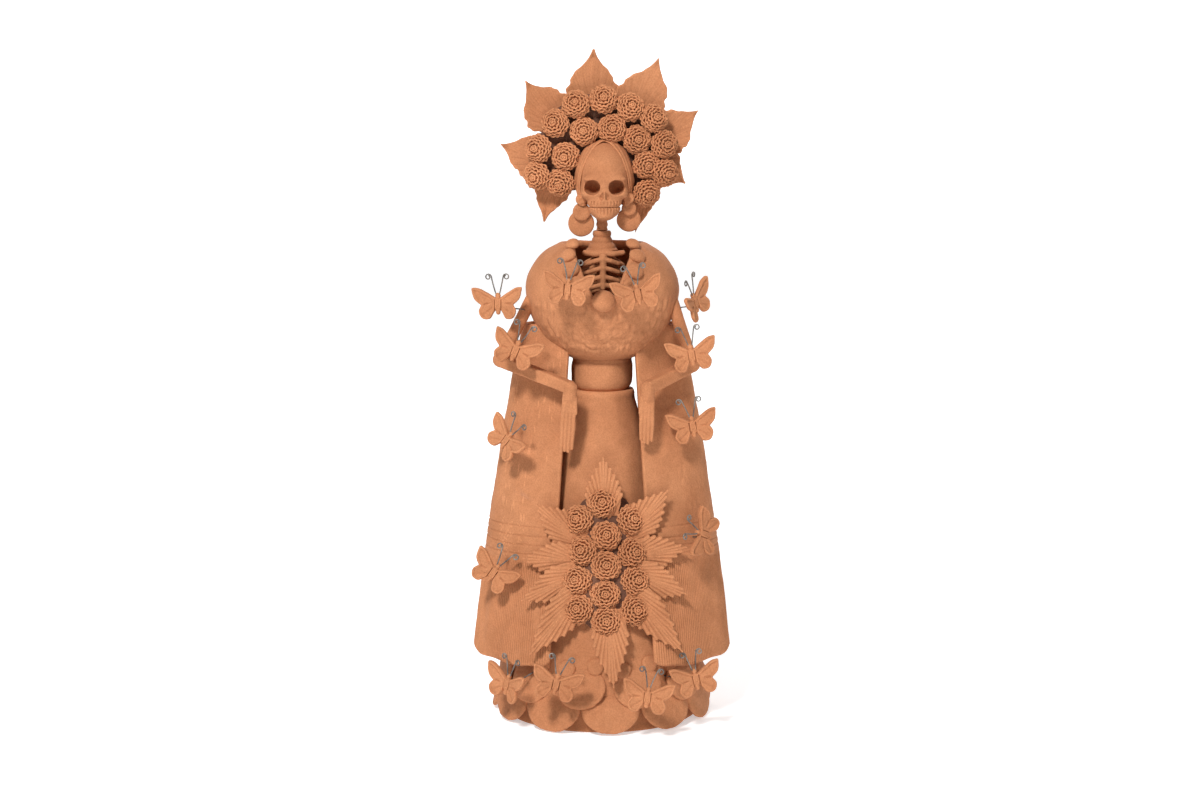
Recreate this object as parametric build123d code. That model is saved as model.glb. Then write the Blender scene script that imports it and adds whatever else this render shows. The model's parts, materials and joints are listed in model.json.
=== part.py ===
from build123d import *
import os
from math import atan2, cos, degrees, hypot, radians, sin, sqrt

# Skeleton lady in fired terracotta: a hollow skirt carries a bowl-shaped shawl, two mantle
# panels, arms, a bouquet and a lift-off head with a flower headdress. Butterflies of clay
# tremble on spring wires. Millimetres, +Z up, the front faces -Y, and the origin is the
# centre of the foot ring on the floor.

# ---- driving dimensions ----
SKIRT_PROFILE = [(0, 76.0), (60, 70.5), (120, 57.0), (180, 40.5), (248, 23.5)]  # height, radius
SKIRT_WALL = 5.0
WAIST_TOP = 275.0
WAIST_RADIUS = 20.5
WAIST_BULGE = 23.2
CORE_RADIUS = 14.0
CORE_TOP = 326.0

# Shawl bowl: height and half-width; depth is a share of the width
SHAWL_PROFILE = [(270, 21), (277, 34), (287, 44), (300, 52), (314, 56.5), (327, 57.5),
                 (341, 52.5), (353, 42), (360, 30)]
SHAWL_DEPTH = 0.84
SHAWL_WALL = 6.0
SHAWL_Y = -3.0
NECKLINE_WIDTH = 46.0
NECKLINE_DEPTH = 40.0
NECKLINE_SLOT = [(370, 19), (347, 17.5), (333, 12.5), (322, 7), (316, 0)]  # height, half-width
NECKLINE_PELLETS = [  # centre x, height, radius
    (-21.5, 358.0, 5.0), (-24.5, 350.5, 5.4), (-22.5, 341.0, 5.6), (-18.0, 332.0, 4.6),
    (22.5, 358.0, 5.0), (25.5, 350.0, 5.4), (23.5, 340.0, 5.6), (20.0, 330.0, 4.8)]
PELLET_SINK = -0.35  # centre above its flat back, as a share of its radius
BROOCH = (1.0, 315.0, 7.0)  # x and height where it touches the shawl, radius
BROOCH_RISE = 5.0
SIGHT = 120.0  # how far in front of the figure a line of sight starts
BROOCH_SINK = -0.1
PRESS_DEPTH = 0.005  # how far a pellet bites into the shawl

# Mantle: height, half-width and half-depth of its outer face
MANTLE_PROFILE = [(49, 98.5, 84.0), (120, 90.0, 62.5), (180, 81.0, 45.5), (262, 67.0, 30.0),
                  (300, 59.0, 24.0)]
MANTLE_WALL = 4.0
MANTLE_EDGE_LOW = 39.0
MANTLE_EDGE_HIGH = 23.0

# Hem: rows of flattened discs, each with half-width, half-height, thickness and foot height
HEM_COUNT = 11
HEM_FIRST = 4.3
HEM_STEP = 360.0 / HEM_COUNT
HEM_LOW = (21.0, 15.5, 7.0, 0.0)
HEM_MIDDLE = (17.5, 14.0, 6.5, 18.0)
HEM_BEDDING = 1.0
HEM_PELLET_RADIUS = 6.0
HEM_PELLET_Z = 47.0

# Ribs
RIB_HEIGHTS = (343.5, 335.2, 327)
RIB_HOOP_RADIUS = 15.6
RIB_RADIUS = 1.9

# Neck and head
NECK_Y = -6.0
COLLAR_TOP = 367.6
COLLAR_RADIUS = 6.9
COLLAR_FLARE = 12.0
COLLAR_FOOT = 353.0
PEG_RADIUS = 4.4
SPIGOT_RADIUS = 3.0
SPIGOT_LENGTH = 12.0
SOCKET_CLEARANCE = 0.4
HEAD_CLEARANCE = 0.3
PEG_INSIDE = 12.0
HEAD_X = 1.7
HEAD_Y = -12.0
EYE_X = 8.8
EYE_Z = 401.0
CHIN_Z = 376.6
MOUTH_Z = 386.0

# Earrings: each disc's x, z and radius, from the top
EARRINGS = {
    "left": [(-15.5, 391.5, 4.2), (-15.2, 382, 6.6), (-15.5, 373.2, 9.8)],
    "right": [(19.6, 392.5, 4.2), (20, 384.5, 5.4), (19.9, 376, 9.0)],
}
EARRING_FRONT_Y = -17.0
EARRING_STEP = 3.2
EARRING_THICKNESS = 4.0

# Arms: shoulder, elbow, wrist and fingertip
ARMS = {
    "left": [(-50, -10, 322), (-76, -20, 272), (-23.6, -48, 255), (-26.7, -46, 205)],
    "right": [(50, -10, 322), (68, -20, 268.5), (33.9, -48, 255), (32.5, -46, 211)],
}
UPPER_ARM_RADIUS = 5.0
FOREARM_SIDE = 9.6
HAND_WIDTH = 11.0
HAND_THICKNESS = 5.0

# Bouquet: flower places on the front, as x and z, and leaf tips
BOUQUET_FLOWERS = [
    (0, 168.6), (-17, 156), (20.7, 155.8), (2.9, 145.1), (-14, 134.1), (22.1, 132.2),
    (2.9, 123.8), (-17.7, 112.6), (23.6, 111.5), (2.2, 103.1), (-16.9, 92.6), (23.5, 90.8),
    (2.9, 83.8)]
BOUQUET_TIPS = [
    (0.9, -46, 200.2), (47.1, -50, 176.1), (60.1, -55, 135.7), (60, -64, 103.7),
    (57.5, -76, 64.1), (8.4, -89, 41.5), (-51, -80, 63.4), (-56.5, -68, 99.9),
    (-55.9, -59, 128.4), (-46.7, -52, 165.7)]
BOUQUET_CENTRE = (2.0, 126.0)
MOUND_HALF_WIDTH = 31.0
MOUND_HALF_HEIGHT = 51.0
MOUND_THICKNESS = 7.0
BOUQUET_FLOWER_RADIUS = 9.9
BOUQUET_FLOWER_HEIGHT = 9.0

# Headdress: flower places as x and z, and each leaf's foot, tip and half-width
HEAD_FLOWERS = [
    (-19, 461.3), (1.2, 464.8), (20.9, 459.1), (38.2, 450.7), (-34.2, 447.2), (-13.4, 441.6),
    (7.5, 443.7), (25.9, 435.3), (44.9, 431.7), (-46.7, 428.9), (-26.9, 423), (32.6, 416.9),
    (46.2, 411.3), (-47.5, 409.1), (-30.4, 403.5), (32.6, 396.4)]
HEAD_LEAVES = [
    ((-6, 460), (-8, 501.9), 17), ((25, 456), (41.7, 495.5), 16),
    ((44, 437), (72.7, 455.2), 14.5), ((42, 415), (62.3, 402.5), 14),
    ((31, 398), (26, 365.4), 8), ((-35, 404), (-43.8, 374), 11.5),
    ((-45, 419), (-75.3, 433.1), 15), ((-34, 450), (-57.7, 477.8), 16)]
HOOD_CENTRE_Z = 429.0
HOOD_HALF_WIDTH = 48.0
HOOD_HALF_HEIGHT = 41.0
HOOD_FRONT_Y = -6.0
HOOD_BACK_Y = 7.0
HEAD_FLOWER_RADIUS = 9.4
HEAD_FLOWER_HEIGHT = 8.5
HEAD_LEAF_THICKNESS = 2.4

# Butterflies: centre, turn in the front plane, turn to the side, and the wire's root
BUTTERFLIES = {
    "01": ((-77.3, -27.0, 315.2), 2, -10, (-59.8, -17.9, 309.9)),
    "02": ((-24.7, -66.0, 330.0), -6, 0, (-24.7, -47.7, 323.6)),
    "03": ((25.4, -66.0, 326.4), 12, 0, (25.4, -47.2, 319.1)),
    "04": ((68.5, -22.0, 316.1), 24, 58, (59.8, -13.8, 310.9)),
    "05": ((-63.0, -46.0, 283.0), -22, 0, (-61.8, -32.6, 271.9)),
    "06": ((65.5, -46.0, 279.3), 10, 0, (60.9, -29.5, 271.0)),
    "07": ((-70.0, -36.0, 214.8), -38, -38, (-62.3, -23.9, 208.2)),
    "08": ((67.0, -36.0, 224.6), 10, 0, (62.1, -21.7, 219.1)),
    "09": ((-80.0, -50.0, 117.3), -34, -8, (-76.1, -36.8, 113.1)),
    "10": ((75.0, -46.0, 145.4), 68, 42, (68.4, -36.0, 140.5)),
    "11": ((-69.5, -68.0, 36.3), -12, -42, (-52.2, -59.0, 41.9)),
    "12": ((-32.9, -95.0, 43.7), -13, 0, (-25.1, -75.2, 40.1)),
    "13": ((33.6, -95.0, 33.9), -8, 0, (21.9, -76.7, 31.8)),
    "14": ((69.0, -71.0, 40.9), 12, 8, (47.6, -57.3, 39.3)),
}
WING_THICKNESS = 3.0
WING_LIFT = 14.0
WING_TIP_BACK = 0.12
BODY_RADIUS = 2.0
BODY_LENGTH = 17.0
WIRE_RADIUS = 0.5
ANTENNA_LENGTH = 16.0
ANTENNA_SPLAY = 15.0
CURL_RADIUS = 2.4
CURL_TURN = 270.0


# ---- small helpers ----
def between(table, height, column=1):
    """The table's value at a height, along straight lines between its rows."""
    for low, high in zip(table, table[1:]):
        if height <= high[0]:
            share = (height - low[0]) / (high[0] - low[0])
            return low[column] + share * (high[column] - low[column])
    return table[-1][column]


def biggest(shape):
    """The largest solid of a shape, without crumbs that a cut may leave."""
    return max(shape.solids(), key=lambda solid: solid.volume)


def fitted(shape, *neighbours):
    """A piece cut back to the faces of the pieces that it is luted to."""
    for other in neighbours:
        shape = biggest(Part() + shape - other)
    return shape


def ellipsoid(centre, x, y, z):
    """An ellipsoid with these half-axes."""
    return Pos(*centre) * scale(Sphere(1), by=(x, y, z))


def rod(start, end, radius):
    """A round rod from one point to another."""
    run = Vector(*end) - Vector(*start)
    base = Plane(origin=start, z_dir=run)
    return base * Cylinder(radius, run.length, align=(Align.CENTER, Align.CENTER, Align.MIN))


def slot_at(angle, radius, height, lean):
    """A plane tangent to the skirt at an angle from the front, facing out."""
    turn = radians(angle)
    out = Vector(sin(turn) * cos(lean), -cos(turn) * cos(lean), sin(lean))
    side = Vector(cos(turn), sin(turn), 0)
    return Plane(origin=(radius * sin(turn), -radius * cos(turn), height), x_dir=side, z_dir=out)


def skirt_lean(height):
    """The skirt wall's lean from upright at a height, in radians."""
    drop = between(SKIRT_PROFILE, height - 8) - between(SKIRT_PROFILE, height + 8)
    return atan2(drop, 16)


# ---- dress ----
def make_skirt():
    """The hollow skirt, open below and closed at the waist."""
    top, top_radius = SKIRT_PROFILE[-1]
    roof = top - SKIRT_WALL
    foot_radius = SKIRT_PROFILE[0][1]
    inner_points = [(r - SKIRT_WALL, z) for z, r in SKIRT_PROFILE[:-1]]
    inner_points.append((top_radius - SKIRT_WALL, roof))
    outer = Spline(*[(r, z) for z, r in SKIRT_PROFILE])
    inner = Spline(*inner_points)
    section = make_face(
        outer
        + Line((top_radius, top), (0, top))
        + Line((0, top), (0, roof))
        + Line((0, roof), inner_points[-1])
        + inner
        + Line(inner_points[0], (foot_radius, 0)))
    return revolve(Plane.XZ * section, Axis.Z)


def make_waist_band():
    """The bulging belt ring that sits on the skirt's closed top."""
    foot = SKIRT_PROFILE[-1][0]
    middle = (foot + WAIST_TOP) / 2
    section = make_face(
        Line((CORE_RADIUS, foot), (WAIST_RADIUS, foot))
        + ThreePointArc((WAIST_RADIUS, foot), (WAIST_BULGE, middle), (WAIST_RADIUS, WAIST_TOP))
        + Line((WAIST_RADIUS, WAIST_TOP), (CORE_RADIUS, WAIST_TOP))
        + Line((CORE_RADIUS, WAIST_TOP), (CORE_RADIUS, foot)))
    return revolve(Plane.XZ * section, Axis.Z)


def make_torso_core():
    """The column that stands on the skirt and carries shawl and ribs."""
    foot = SKIRT_PROFILE[-1][0]
    return Pos(0, 0, foot) * Cylinder(
        CORE_RADIUS, CORE_TOP - foot, align=(Align.CENTER, Align.CENTER, Align.MIN))


def hem_disc(angle, sizes):
    """One flattened disc of the hem, leaning on the skirt."""
    half_width, half_height, thickness, foot = sizes
    height = foot + half_height
    radius = between(SKIRT_PROFILE, height) - HEM_BEDDING
    disc = extrude(Ellipse(half_width, half_height), thickness)
    disc = fillet(disc.edges(), thickness * 0.3)
    return slot_at(angle, radius, height, skirt_lean(height)) * disc


def make_hem_low(skirt):
    """The row of discs that stands on the floor."""
    discs = []
    for i in range(HEM_COUNT):
        disc = hem_disc(HEM_FIRST + i * HEM_STEP, HEM_LOW)
        floor = disc.bounding_box().min.Z
        discs.append(fitted(Pos(0, 0, -floor) * disc, skirt))
    return discs


def make_hem_middle(skirt, low):
    """The second row, set over the joints of the first."""
    discs = []
    for i in range(HEM_COUNT):
        disc = hem_disc(HEM_FIRST + (i + 0.5) * HEM_STEP, HEM_MIDDLE)
        neighbours = [low[i], low[(i + 1) % HEM_COUNT]]
        discs.append(fitted(disc, skirt, *neighbours))
    return discs


def make_hem_pellets(skirt, middle):
    """The small flattened pellets above the second row."""
    pellets = []
    radius = between(SKIRT_PROFILE, HEM_PELLET_Z) - HEM_BEDDING
    for i in range(2 * HEM_COUNT):
        angle = HEM_FIRST + (i + 0.5) * HEM_STEP / 2
        rise = 2.0 if i % 2 else -1.0
        place = slot_at(angle, radius, HEM_PELLET_Z + rise, skirt_lean(HEM_PELLET_Z))
        pellet = place * extrude(Circle(HEM_PELLET_RADIUS), 5.0)
        near = middle[((i + 1) // 2 - 1) % HEM_COUNT], middle[(i // 2) % HEM_COUNT]
        pellets.append(fitted(pellet, skirt, *near))
    return pellets


def ring_loft(table, inset):
    """A loft through ellipses of height, half-width and half-depth, drawn in by an inset."""
    rings = [Plane.XY.offset(z) * Ellipse(a - inset, b - inset) for z, a, b in table]
    return loft(rings)


def make_shawl(torso, waist):
    """The bowl-shaped shawl, with a neck opening and a slot down its front."""
    outer = [(z, a, a * SHAWL_DEPTH) for z, a in SHAWL_PROFILE]
    low, high = SHAWL_PROFILE[0][0], SHAWL_PROFILE[-1][0]
    inner = [(z + SHAWL_WALL * 0.6, a, b) for z, a, b in outer[1:-2]]
    inner = inner + [(high + 1, 27 + SHAWL_WALL, 22 + SHAWL_WALL)]
    bowl = ring_loft(outer, 0) - ring_loft(inner, SHAWL_WALL)
    neck = Pos(0, 0, low) * extrude(
        Ellipse(NECKLINE_WIDTH / 2, NECKLINE_DEPTH / 2), high - low + 5)
    neck = neck & Pos(0, 0, high) * Box(200, 200, 70)
    right = [(x, z) for z, x in NECKLINE_SLOT]
    left = [(-x, z) for x, z in reversed(right[:-1])]
    slot = Pos(1.0, 0, 0) * Plane.XZ * extrude(make_face(Polyline(*right, *left, close=True)), 120)
    return fitted(Pos(0, SHAWL_Y, 0) * (bowl - neck - slot), torso, waist)


def pellet(shawl, x, z, radius, sink, rise=0.0):
    """A flat-backed round of clay that is pressed against the shawl's front."""
    hits = shawl.find_intersection_points(Axis((x, -SIGHT, z), (0, 1, 0)))
    point, normal = min(hits, key=lambda hit: hit[0].Y)
    normal = normal if normal.Y < 0 else -normal
    dome = Pos(0, 0, radius * sink) * Sphere(radius) & Pos(0, 0, 2 * radius) * Box(*[4 * radius] * 3)
    return Plane(origin=point, x_dir=(1, 0, 0), z_dir=normal) * Pos(0, rise, -PRESS_DEPTH) * dome


def make_shawl_beads(shawl):
    """Pellets round the neckline and one larger bead in its foot."""
    beads = [pellet(shawl, *place, PELLET_SINK) for place in NECKLINE_PELLETS]
    return beads + [pellet(shawl, *BROOCH, BROOCH_SINK, BROOCH_RISE)]


def make_mantle(side, shawl, torso):
    """One curved mantle panel, from its front edge round to the back."""
    shell = ring_loft(MANTLE_PROFILE, 0) - ring_loft(
        [(MANTLE_PROFILE[0][0] - 1, 98.7, 84.6)] + MANTLE_PROFILE[1:-1]
        + [(MANTLE_PROFILE[-1][0] + 1, 58.8, 23.8)], MANTLE_WALL)
    low, high = MANTLE_PROFILE[0][0] - 5, MANTLE_PROFILE[-1][0] + 5
    wedge = make_face(Polyline(
        (side * MANTLE_EDGE_LOW, low), (side * 120, low), (side * 120, high),
        (side * MANTLE_EDGE_HIGH, high), close=True))
    keep = Plane.XZ * extrude(wedge, 120, both=True)
    return fitted(shell & keep, shawl, torso)


# ---- arms ----
def make_upper_arm(points, shawl, mantle):
    """The upper arm, from the shawl's side down and out to the elbow."""
    shoulder, elbow = points[0], points[1]
    return fitted(rod(shoulder, elbow, UPPER_ARM_RADIUS), shawl, mantle)


def make_forearm(points, upper_arm):
    """The faceted forearm with its elbow knob."""
    elbow, wrist = Vector(*points[1]), Vector(*points[2])
    run = wrist - elbow
    bar = Plane(origin=elbow, x_dir=run.cross(Vector(0, 0, 1)), z_dir=run) * extrude(
        RectangleRounded(FOREARM_SIDE, FOREARM_SIDE, 2.4), run.length)
    return fitted(bar + Pos(*points[1]) * Sphere(FOREARM_SIDE * 0.56), upper_arm)


def make_hand(points, forearm):
    """The long flat hand with four fingers and a thumb, hanging from the wrist."""
    wrist, tip = Vector(*points[2]), Vector(*points[3])
    run = tip - wrist
    down = Plane(origin=wrist, x_dir=(1, 0, 0), z_dir=run)
    half = HAND_WIDTH / 2
    palm = down * Pos(0, 0, -3) * Cone(5.2, half, 18, align=(Align.CENTER, Align.CENTER, Align.MIN))
    finger_step = HAND_WIDTH / 4
    hand = palm
    for i in range(4):
        offset = (i - 1.5) * finger_step
        length = run.length - 3 * abs(i - 1.2)
        finger = down * Pos(offset, 0, 8) * Cylinder(
            finger_step * 0.56, length - 8, align=(Align.CENTER, Align.CENTER, Align.MIN))
        hand = hand + finger
    # knuckle slab that joins the fingers for the upper part of their length
    slab = down * Pos(0, 0, 18) * Box(
        HAND_WIDTH * 0.8, HAND_THICKNESS * 0.4, run.length * 0.45,
        align=(Align.CENTER, Align.CENTER, Align.MIN))
    return fitted(hand + slab, forearm)


# ---- ribs and neck ----
def make_rib_cage(torso):
    """Spine, three rib hoops and the breastbone."""
    spine = rod((0, 7, CORE_TOP - 4), (0, 0, COLLAR_FOOT + 1), 4.5)
    breastbone = rod((0.8, -21, CORE_TOP + 2), (0.8, -19.5, COLLAR_FOOT - 5), 2.4)
    cage = spine + breastbone
    for height in RIB_HEIGHTS:
        hoop = Plane(origin=(0.8, NECK_Y, height), x_dir=(1, 0, 0), z_dir=(0, 0.35, 1))
        cage = cage + hoop * Torus(RIB_HOOP_RADIUS, RIB_RADIUS)
    return fitted(cage, torso)


def make_clavicle(cage):
    """The collar-bone bar across the top of the ribs."""
    bar = Pos(1.5, -17.5, 351) * Box(32, 4.6, 4.6)
    return fitted(fillet(bar.edges().filter_by(Axis.X), 1.4), cage)


def make_neck_collar(cage, clavicle):
    """The neck stump that flares to the collar bones and holds the head's spigot."""
    shoulder = COLLAR_TOP - 5
    section = make_face(
        Line((0, COLLAR_FOOT), (COLLAR_FLARE, COLLAR_FOOT))
        + ThreePointArc((COLLAR_FLARE, COLLAR_FOOT), (COLLAR_RADIUS + 1.5, shoulder - 3),
                        (COLLAR_RADIUS, shoulder))
        + Line((COLLAR_RADIUS, shoulder), (COLLAR_RADIUS, COLLAR_TOP))
        + Line((COLLAR_RADIUS, COLLAR_TOP), (0, COLLAR_TOP))
        + Line((0, COLLAR_TOP), (0, COLLAR_FOOT)))
    depth = SPIGOT_LENGTH + 1.0
    socket = Pos(0, 0, COLLAR_TOP) * Cylinder(
        SPIGOT_RADIUS + SOCKET_CLEARANCE, depth, align=(Align.CENTER, Align.CENTER, Align.MAX))
    collar = Pos(0, NECK_Y, 0) * (revolve(Plane.XZ * section, Axis.Z) - socket)
    return fitted(collar, cage, clavicle)


# ---- head ----
def peg_room():
    """The bore that the peg needs in the head, with running clearance."""
    length = CHIN_Z + PEG_INSIDE - COLLAR_TOP
    return Pos(0, NECK_Y, COLLAR_TOP) * Cylinder(
        PEG_RADIUS + HEAD_CLEARANCE, length + HEAD_CLEARANCE,
        align=(Align.CENTER, Align.CENTER, Align.MIN))


def make_neck_peg():
    """The head's own neck, with a spigot that drops into the collar."""
    start = COLLAR_TOP + HEAD_CLEARANCE
    top = CHIN_Z + PEG_INSIDE
    peg = Pos(0, NECK_Y, start) * Cylinder(
        PEG_RADIUS, top - start, align=(Align.CENTER, Align.CENTER, Align.MIN))
    spigot = Pos(0, NECK_Y, start) * Cylinder(
        SPIGOT_RADIUS, SPIGOT_LENGTH, align=(Align.CENTER, Align.CENTER, Align.MAX))
    return peg + spigot


def make_skull(bore):
    """The skull: domed cranium, cheeks and upper teeth, with deep eye sockets."""
    skull = ellipsoid((HEAD_X, HEAD_Y, 409), 18.4, 21, 24.4)
    skull = skull + ellipsoid((HEAD_X, HEAD_Y - 9, 393.5), 14.5, 11.5, 9)
    skull = skull - Pos(HEAD_X, HEAD_Y, MOUTH_Z - 20) * Box(60, 80, 40)
    for side in (-1, 1):
        skull = skull - ellipsoid((HEAD_X + side * EYE_X, HEAD_Y - 19, EYE_Z), 5.6, 9, 5.4)
        slit = Rot(0, side * 14, 0) * Box(1.6, 8, 5.4)
        skull = skull - Pos(HEAD_X + side * 2.3, HEAD_Y - 22, 395) * slit
    for i in range(-4, 5):
        skull = skull - Pos(HEAD_X + i * 2.6, HEAD_Y - 20.5, MOUTH_Z + 2.2) * Box(0.5, 6, 4.4)
    return fitted(skull, bore)


def make_jaw(bore):
    """The lower jaw with its row of teeth."""
    height = MOUTH_Z - CHIN_Z
    jaw = ellipsoid((HEAD_X, HEAD_Y - 8, MOUTH_Z), 12.6, 12, height)
    jaw = jaw & Pos(HEAD_X, HEAD_Y, MOUTH_Z - 20) * Box(60, 80, 40)
    for i in range(-4, 5):
        jaw = jaw - Pos(HEAD_X + i * 2.5, HEAD_Y - 19, MOUTH_Z - 2.4) * Box(0.5, 6, 4.8)
    return fitted(jaw, bore)


def make_hair(skull, bore):
    """Two smooth bands of hair, parted in the middle and drawn down over the ears."""
    hood = ellipsoid((HEAD_X, HEAD_Y + 4, 408), 22, 23, 28)
    face = Pos(HEAD_X, -40, 402) * Rot(90, 0, 0) * extrude(Ellipse(17.2, 30), 36, both=True)
    parting = Pos(HEAD_X, -26, 434) * Box(0.6, 30, 14)
    below = Pos(HEAD_X, 0, CHIN_Z) * Box(100, 100, 26)
    return fitted(hood - face - parting - below, skull, bore)


def make_earring(discs, hair, skull, jaw):
    """Three flat discs, each larger than the one above, hung in a stack."""
    stack = Part()
    for i, (x, z, radius) in enumerate(discs):
        y = EARRING_FRONT_Y + i * EARRING_STEP
        stack = stack + Pos(x, y, z) * Rot(90, 0, 0) * Cylinder(radius, EARRING_THICKNESS)
    return fitted(stack, hair, skull, jaw)


def make_hood(skull, hair):
    """The pad behind the flowers that joins them and the leaves to the head."""
    thickness = HOOD_BACK_Y - HOOD_FRONT_Y
    pad = Pos(0, HOOD_BACK_Y, HOOD_CENTRE_Z) * Rot(90, 0, 0) * extrude(
        Ellipse(HOOD_HALF_WIDTH, HOOD_HALF_HEIGHT), thickness)
    pad = fillet(pad.edges(), 3.0)
    pad = pad - Pos(0, 0, HOOD_CENTRE_Z - HOOD_HALF_HEIGHT) * Box(120, 60, 16)
    return fitted(pad, skull, hair)


def dome_flower(radius, height):
    """A many-petalled flower head: stepped rings that close to a button, on a short stem."""
    steps = [(0.45, 0.0), (1.0, 0.28), (1.0, 0.45), (0.84, 0.5), (0.84, 0.68), (0.6, 0.72),
             (0.6, 0.86), (0.32, 0.88), (0.32, 1.0), (0, 1.0), (0, -0.8), (0.45, -0.8)]
    section = make_face(Polyline(*[(r * radius, z * height) for r, z in steps], close=True))
    return revolve(Plane.XZ * section, Axis.Z)


def make_head_flowers(hood, hair, skull):
    """The flowers of the headdress, the outer ones turned outward."""
    flowers = []
    for x, z in HEAD_FLOWERS:
        away = hypot(x, z - HOOD_CENTRE_Z) / HOOD_HALF_WIDTH
        out = Vector(x * 0.5 * away, -HOOD_HALF_WIDTH, (z - HOOD_CENTRE_Z) * 0.5 * away)
        place = Plane(origin=(x, HOOD_FRONT_Y - 4.5 + 1.5 * away, z), z_dir=out)
        flower = place * dome_flower(HEAD_FLOWER_RADIUS, HEAD_FLOWER_HEIGHT)
        flowers.append(fitted(flower, hood, hair, skull, *flowers[-6:]))
    return flowers


def leaf_blank(length, half_width, thickness, tuck):
    """A flat pointed leaf along +X, with its foot tucked back behind the start."""
    edge = [(-tuck, 0.5), (length * 0.12, 0.86), (length * 0.38, 1.0), (length * 0.72, 0.6)]
    upper = [(x, share * half_width) for x, share in edge]
    lower = [(x, -y) for x, y in reversed(upper)]
    outline = make_face(
        Spline(*upper, (length, 0)) + Spline((length, 0), *lower) + Line(lower[-1], upper[0]))
    return extrude(outline, thickness / 2, both=True)


def make_head_leaves(hood, flowers, hair):
    """Eight broad leaves that fan out behind the flowers."""
    leaves = []
    for i, (foot, tip, half_width) in enumerate(HEAD_LEAVES):
        run = Vector(tip[0] - foot[0], 0, tip[1] - foot[1])
        depth = 1.6 if i % 2 else 4.6
        place = Plane(origin=(foot[0], depth, foot[1]), x_dir=run, z_dir=(0, -1, 0))
        leaf = place * leaf_blank(run.length, half_width, HEAD_LEAF_THICKNESS, 8)
        leaves.append(fitted(leaf, hood, hair, *flowers, *leaves))
    return leaves


# ---- bouquet ----
def skirt_envelope(rise):
    """The skirt's outer shape as a filled solid, grown by a rise."""
    top, top_radius = SKIRT_PROFILE[-1]
    section = make_face(
        Spline(*[(r + rise, z) for z, r in SKIRT_PROFILE])
        + Polyline((top_radius + rise, top), (0, top), (0, 0), (SKIRT_PROFILE[0][1] + rise, 0)))
    return revolve(Plane.XZ * section, Axis.Z)


def make_mound(mantles):
    """The pad on the skirt's front that the bouquet is built on."""
    region = Pos(BOUQUET_CENTRE[0], 0, BOUQUET_CENTRE[1]) * Rot(90, 0, 0) * extrude(
        Ellipse(MOUND_HALF_WIDTH, MOUND_HALF_HEIGHT), 150)
    return fitted(skirt_envelope(MOUND_THICKNESS) & region, skirt_envelope(0), *mantles)


def make_bouquet_flowers(mound, skirt):
    """The flowers of the bouquet, facing out from the skirt."""
    flowers = []
    for x, z in BOUQUET_FLOWERS:
        radius = between(SKIRT_PROFILE, z) + MOUND_THICKNESS - 1.2
        angle = degrees(atan2(x, sqrt(radius ** 2 - x ** 2)))
        place = slot_at(angle, radius, z, skirt_lean(z))
        flower = place * dome_flower(BOUQUET_FLOWER_RADIUS, BOUQUET_FLOWER_HEIGHT)
        flowers.append(fitted(flower, mound, skirt, *flowers[-4:]))
    return flowers


def make_bouquet_leaves(mound, flowers, blockers):
    """Ten pointed leaves that spread from the bouquet over skirt and mantle."""
    leaves = []
    for x, y, z in BOUQUET_TIPS:
        dx, dz = x - BOUQUET_CENTRE[0], z - BOUQUET_CENTRE[1]
        share = 0.86 / hypot(dx / MOUND_HALF_WIDTH, dz / MOUND_HALF_HEIGHT)
        foot_x, foot_z = BOUQUET_CENTRE[0] + dx * share, BOUQUET_CENTRE[1] + dz * share
        radius = between(SKIRT_PROFILE, foot_z) + MOUND_THICKNESS - 1.0
        foot = Vector(foot_x, -sqrt(radius ** 2 - foot_x ** 2), foot_z)
        run = Vector(x, y, z) - foot
        face = Vector(0, -1, 0) - run * (run.dot(Vector(0, -1, 0)) / run.length ** 2)
        place = Plane(origin=foot, x_dir=run, z_dir=face)
        leaf = place * leaf_blank(run.length, 8.8, 3.0, 3)
        leaves.append(fitted(leaf, mound, *flowers, *blockers, *leaves))
    return leaves


# ---- butterflies ----
def wing_outline():
    """The right wing's outline: a pointed upper lobe and a round lower lobe."""
    notch = (12.6, -0.6)
    return make_face(
        Spline((1.2, 3.6), (7.5, 8.6), (15.5, 11.6), (18.6, 9.6), (17.2, 3.4), notch)
        + Spline(notch, (14.6, -5.2), (11.6, -11.2), (6.2, -11.2), (3.4, -6.4), (1.2, -2.4))
        + Line((1.2, -2.4), (1.2, 3.6)))


def butterfly_blank():
    """A clay butterfly round its own centre: head along +Y, face along +Z."""
    wing = extrude(wing_outline(), WING_THICKNESS / 2, both=True)
    right = wing.rotate(Axis.Y, -WING_LIFT)
    left = mirror(right, Plane.YZ)
    half = BODY_LENGTH / 2
    body = rod((0, -half + BODY_RADIUS, 0), (0, half - BODY_RADIUS, 0), BODY_RADIUS)
    for end in (-1, 1):
        body = body + Pos(0, end * (half - BODY_RADIUS), 0) * Sphere(BODY_RADIUS)
    return body + right + left


def antenna(side):
    """A straight wire from the head that ends in an outward curl."""
    lean = radians(90 - side * ANTENNA_SPLAY)
    start = Vector(side * 0.8, BODY_LENGTH / 2 - 3.0, 0.2)
    reach = Vector(cos(lean), sin(lean), 0.12).normalized()
    out = reach.cross(Vector(0, 0, 1)) * side
    end = start + reach * ANTENNA_LENGTH
    hub = end + out * CURL_RADIUS
    curl = []
    for share in (0.5, 1.0):
        turn = radians(CURL_TURN * share)
        curl.append(hub - out * CURL_RADIUS * cos(turn) + reach * CURL_RADIUS * sin(turn))
    path = Line(start, end) + ThreePointArc(end, *curl)
    return sweep(Plane(origin=start, z_dir=reach) * Circle(WIRE_RADIUS), path=path)


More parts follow.
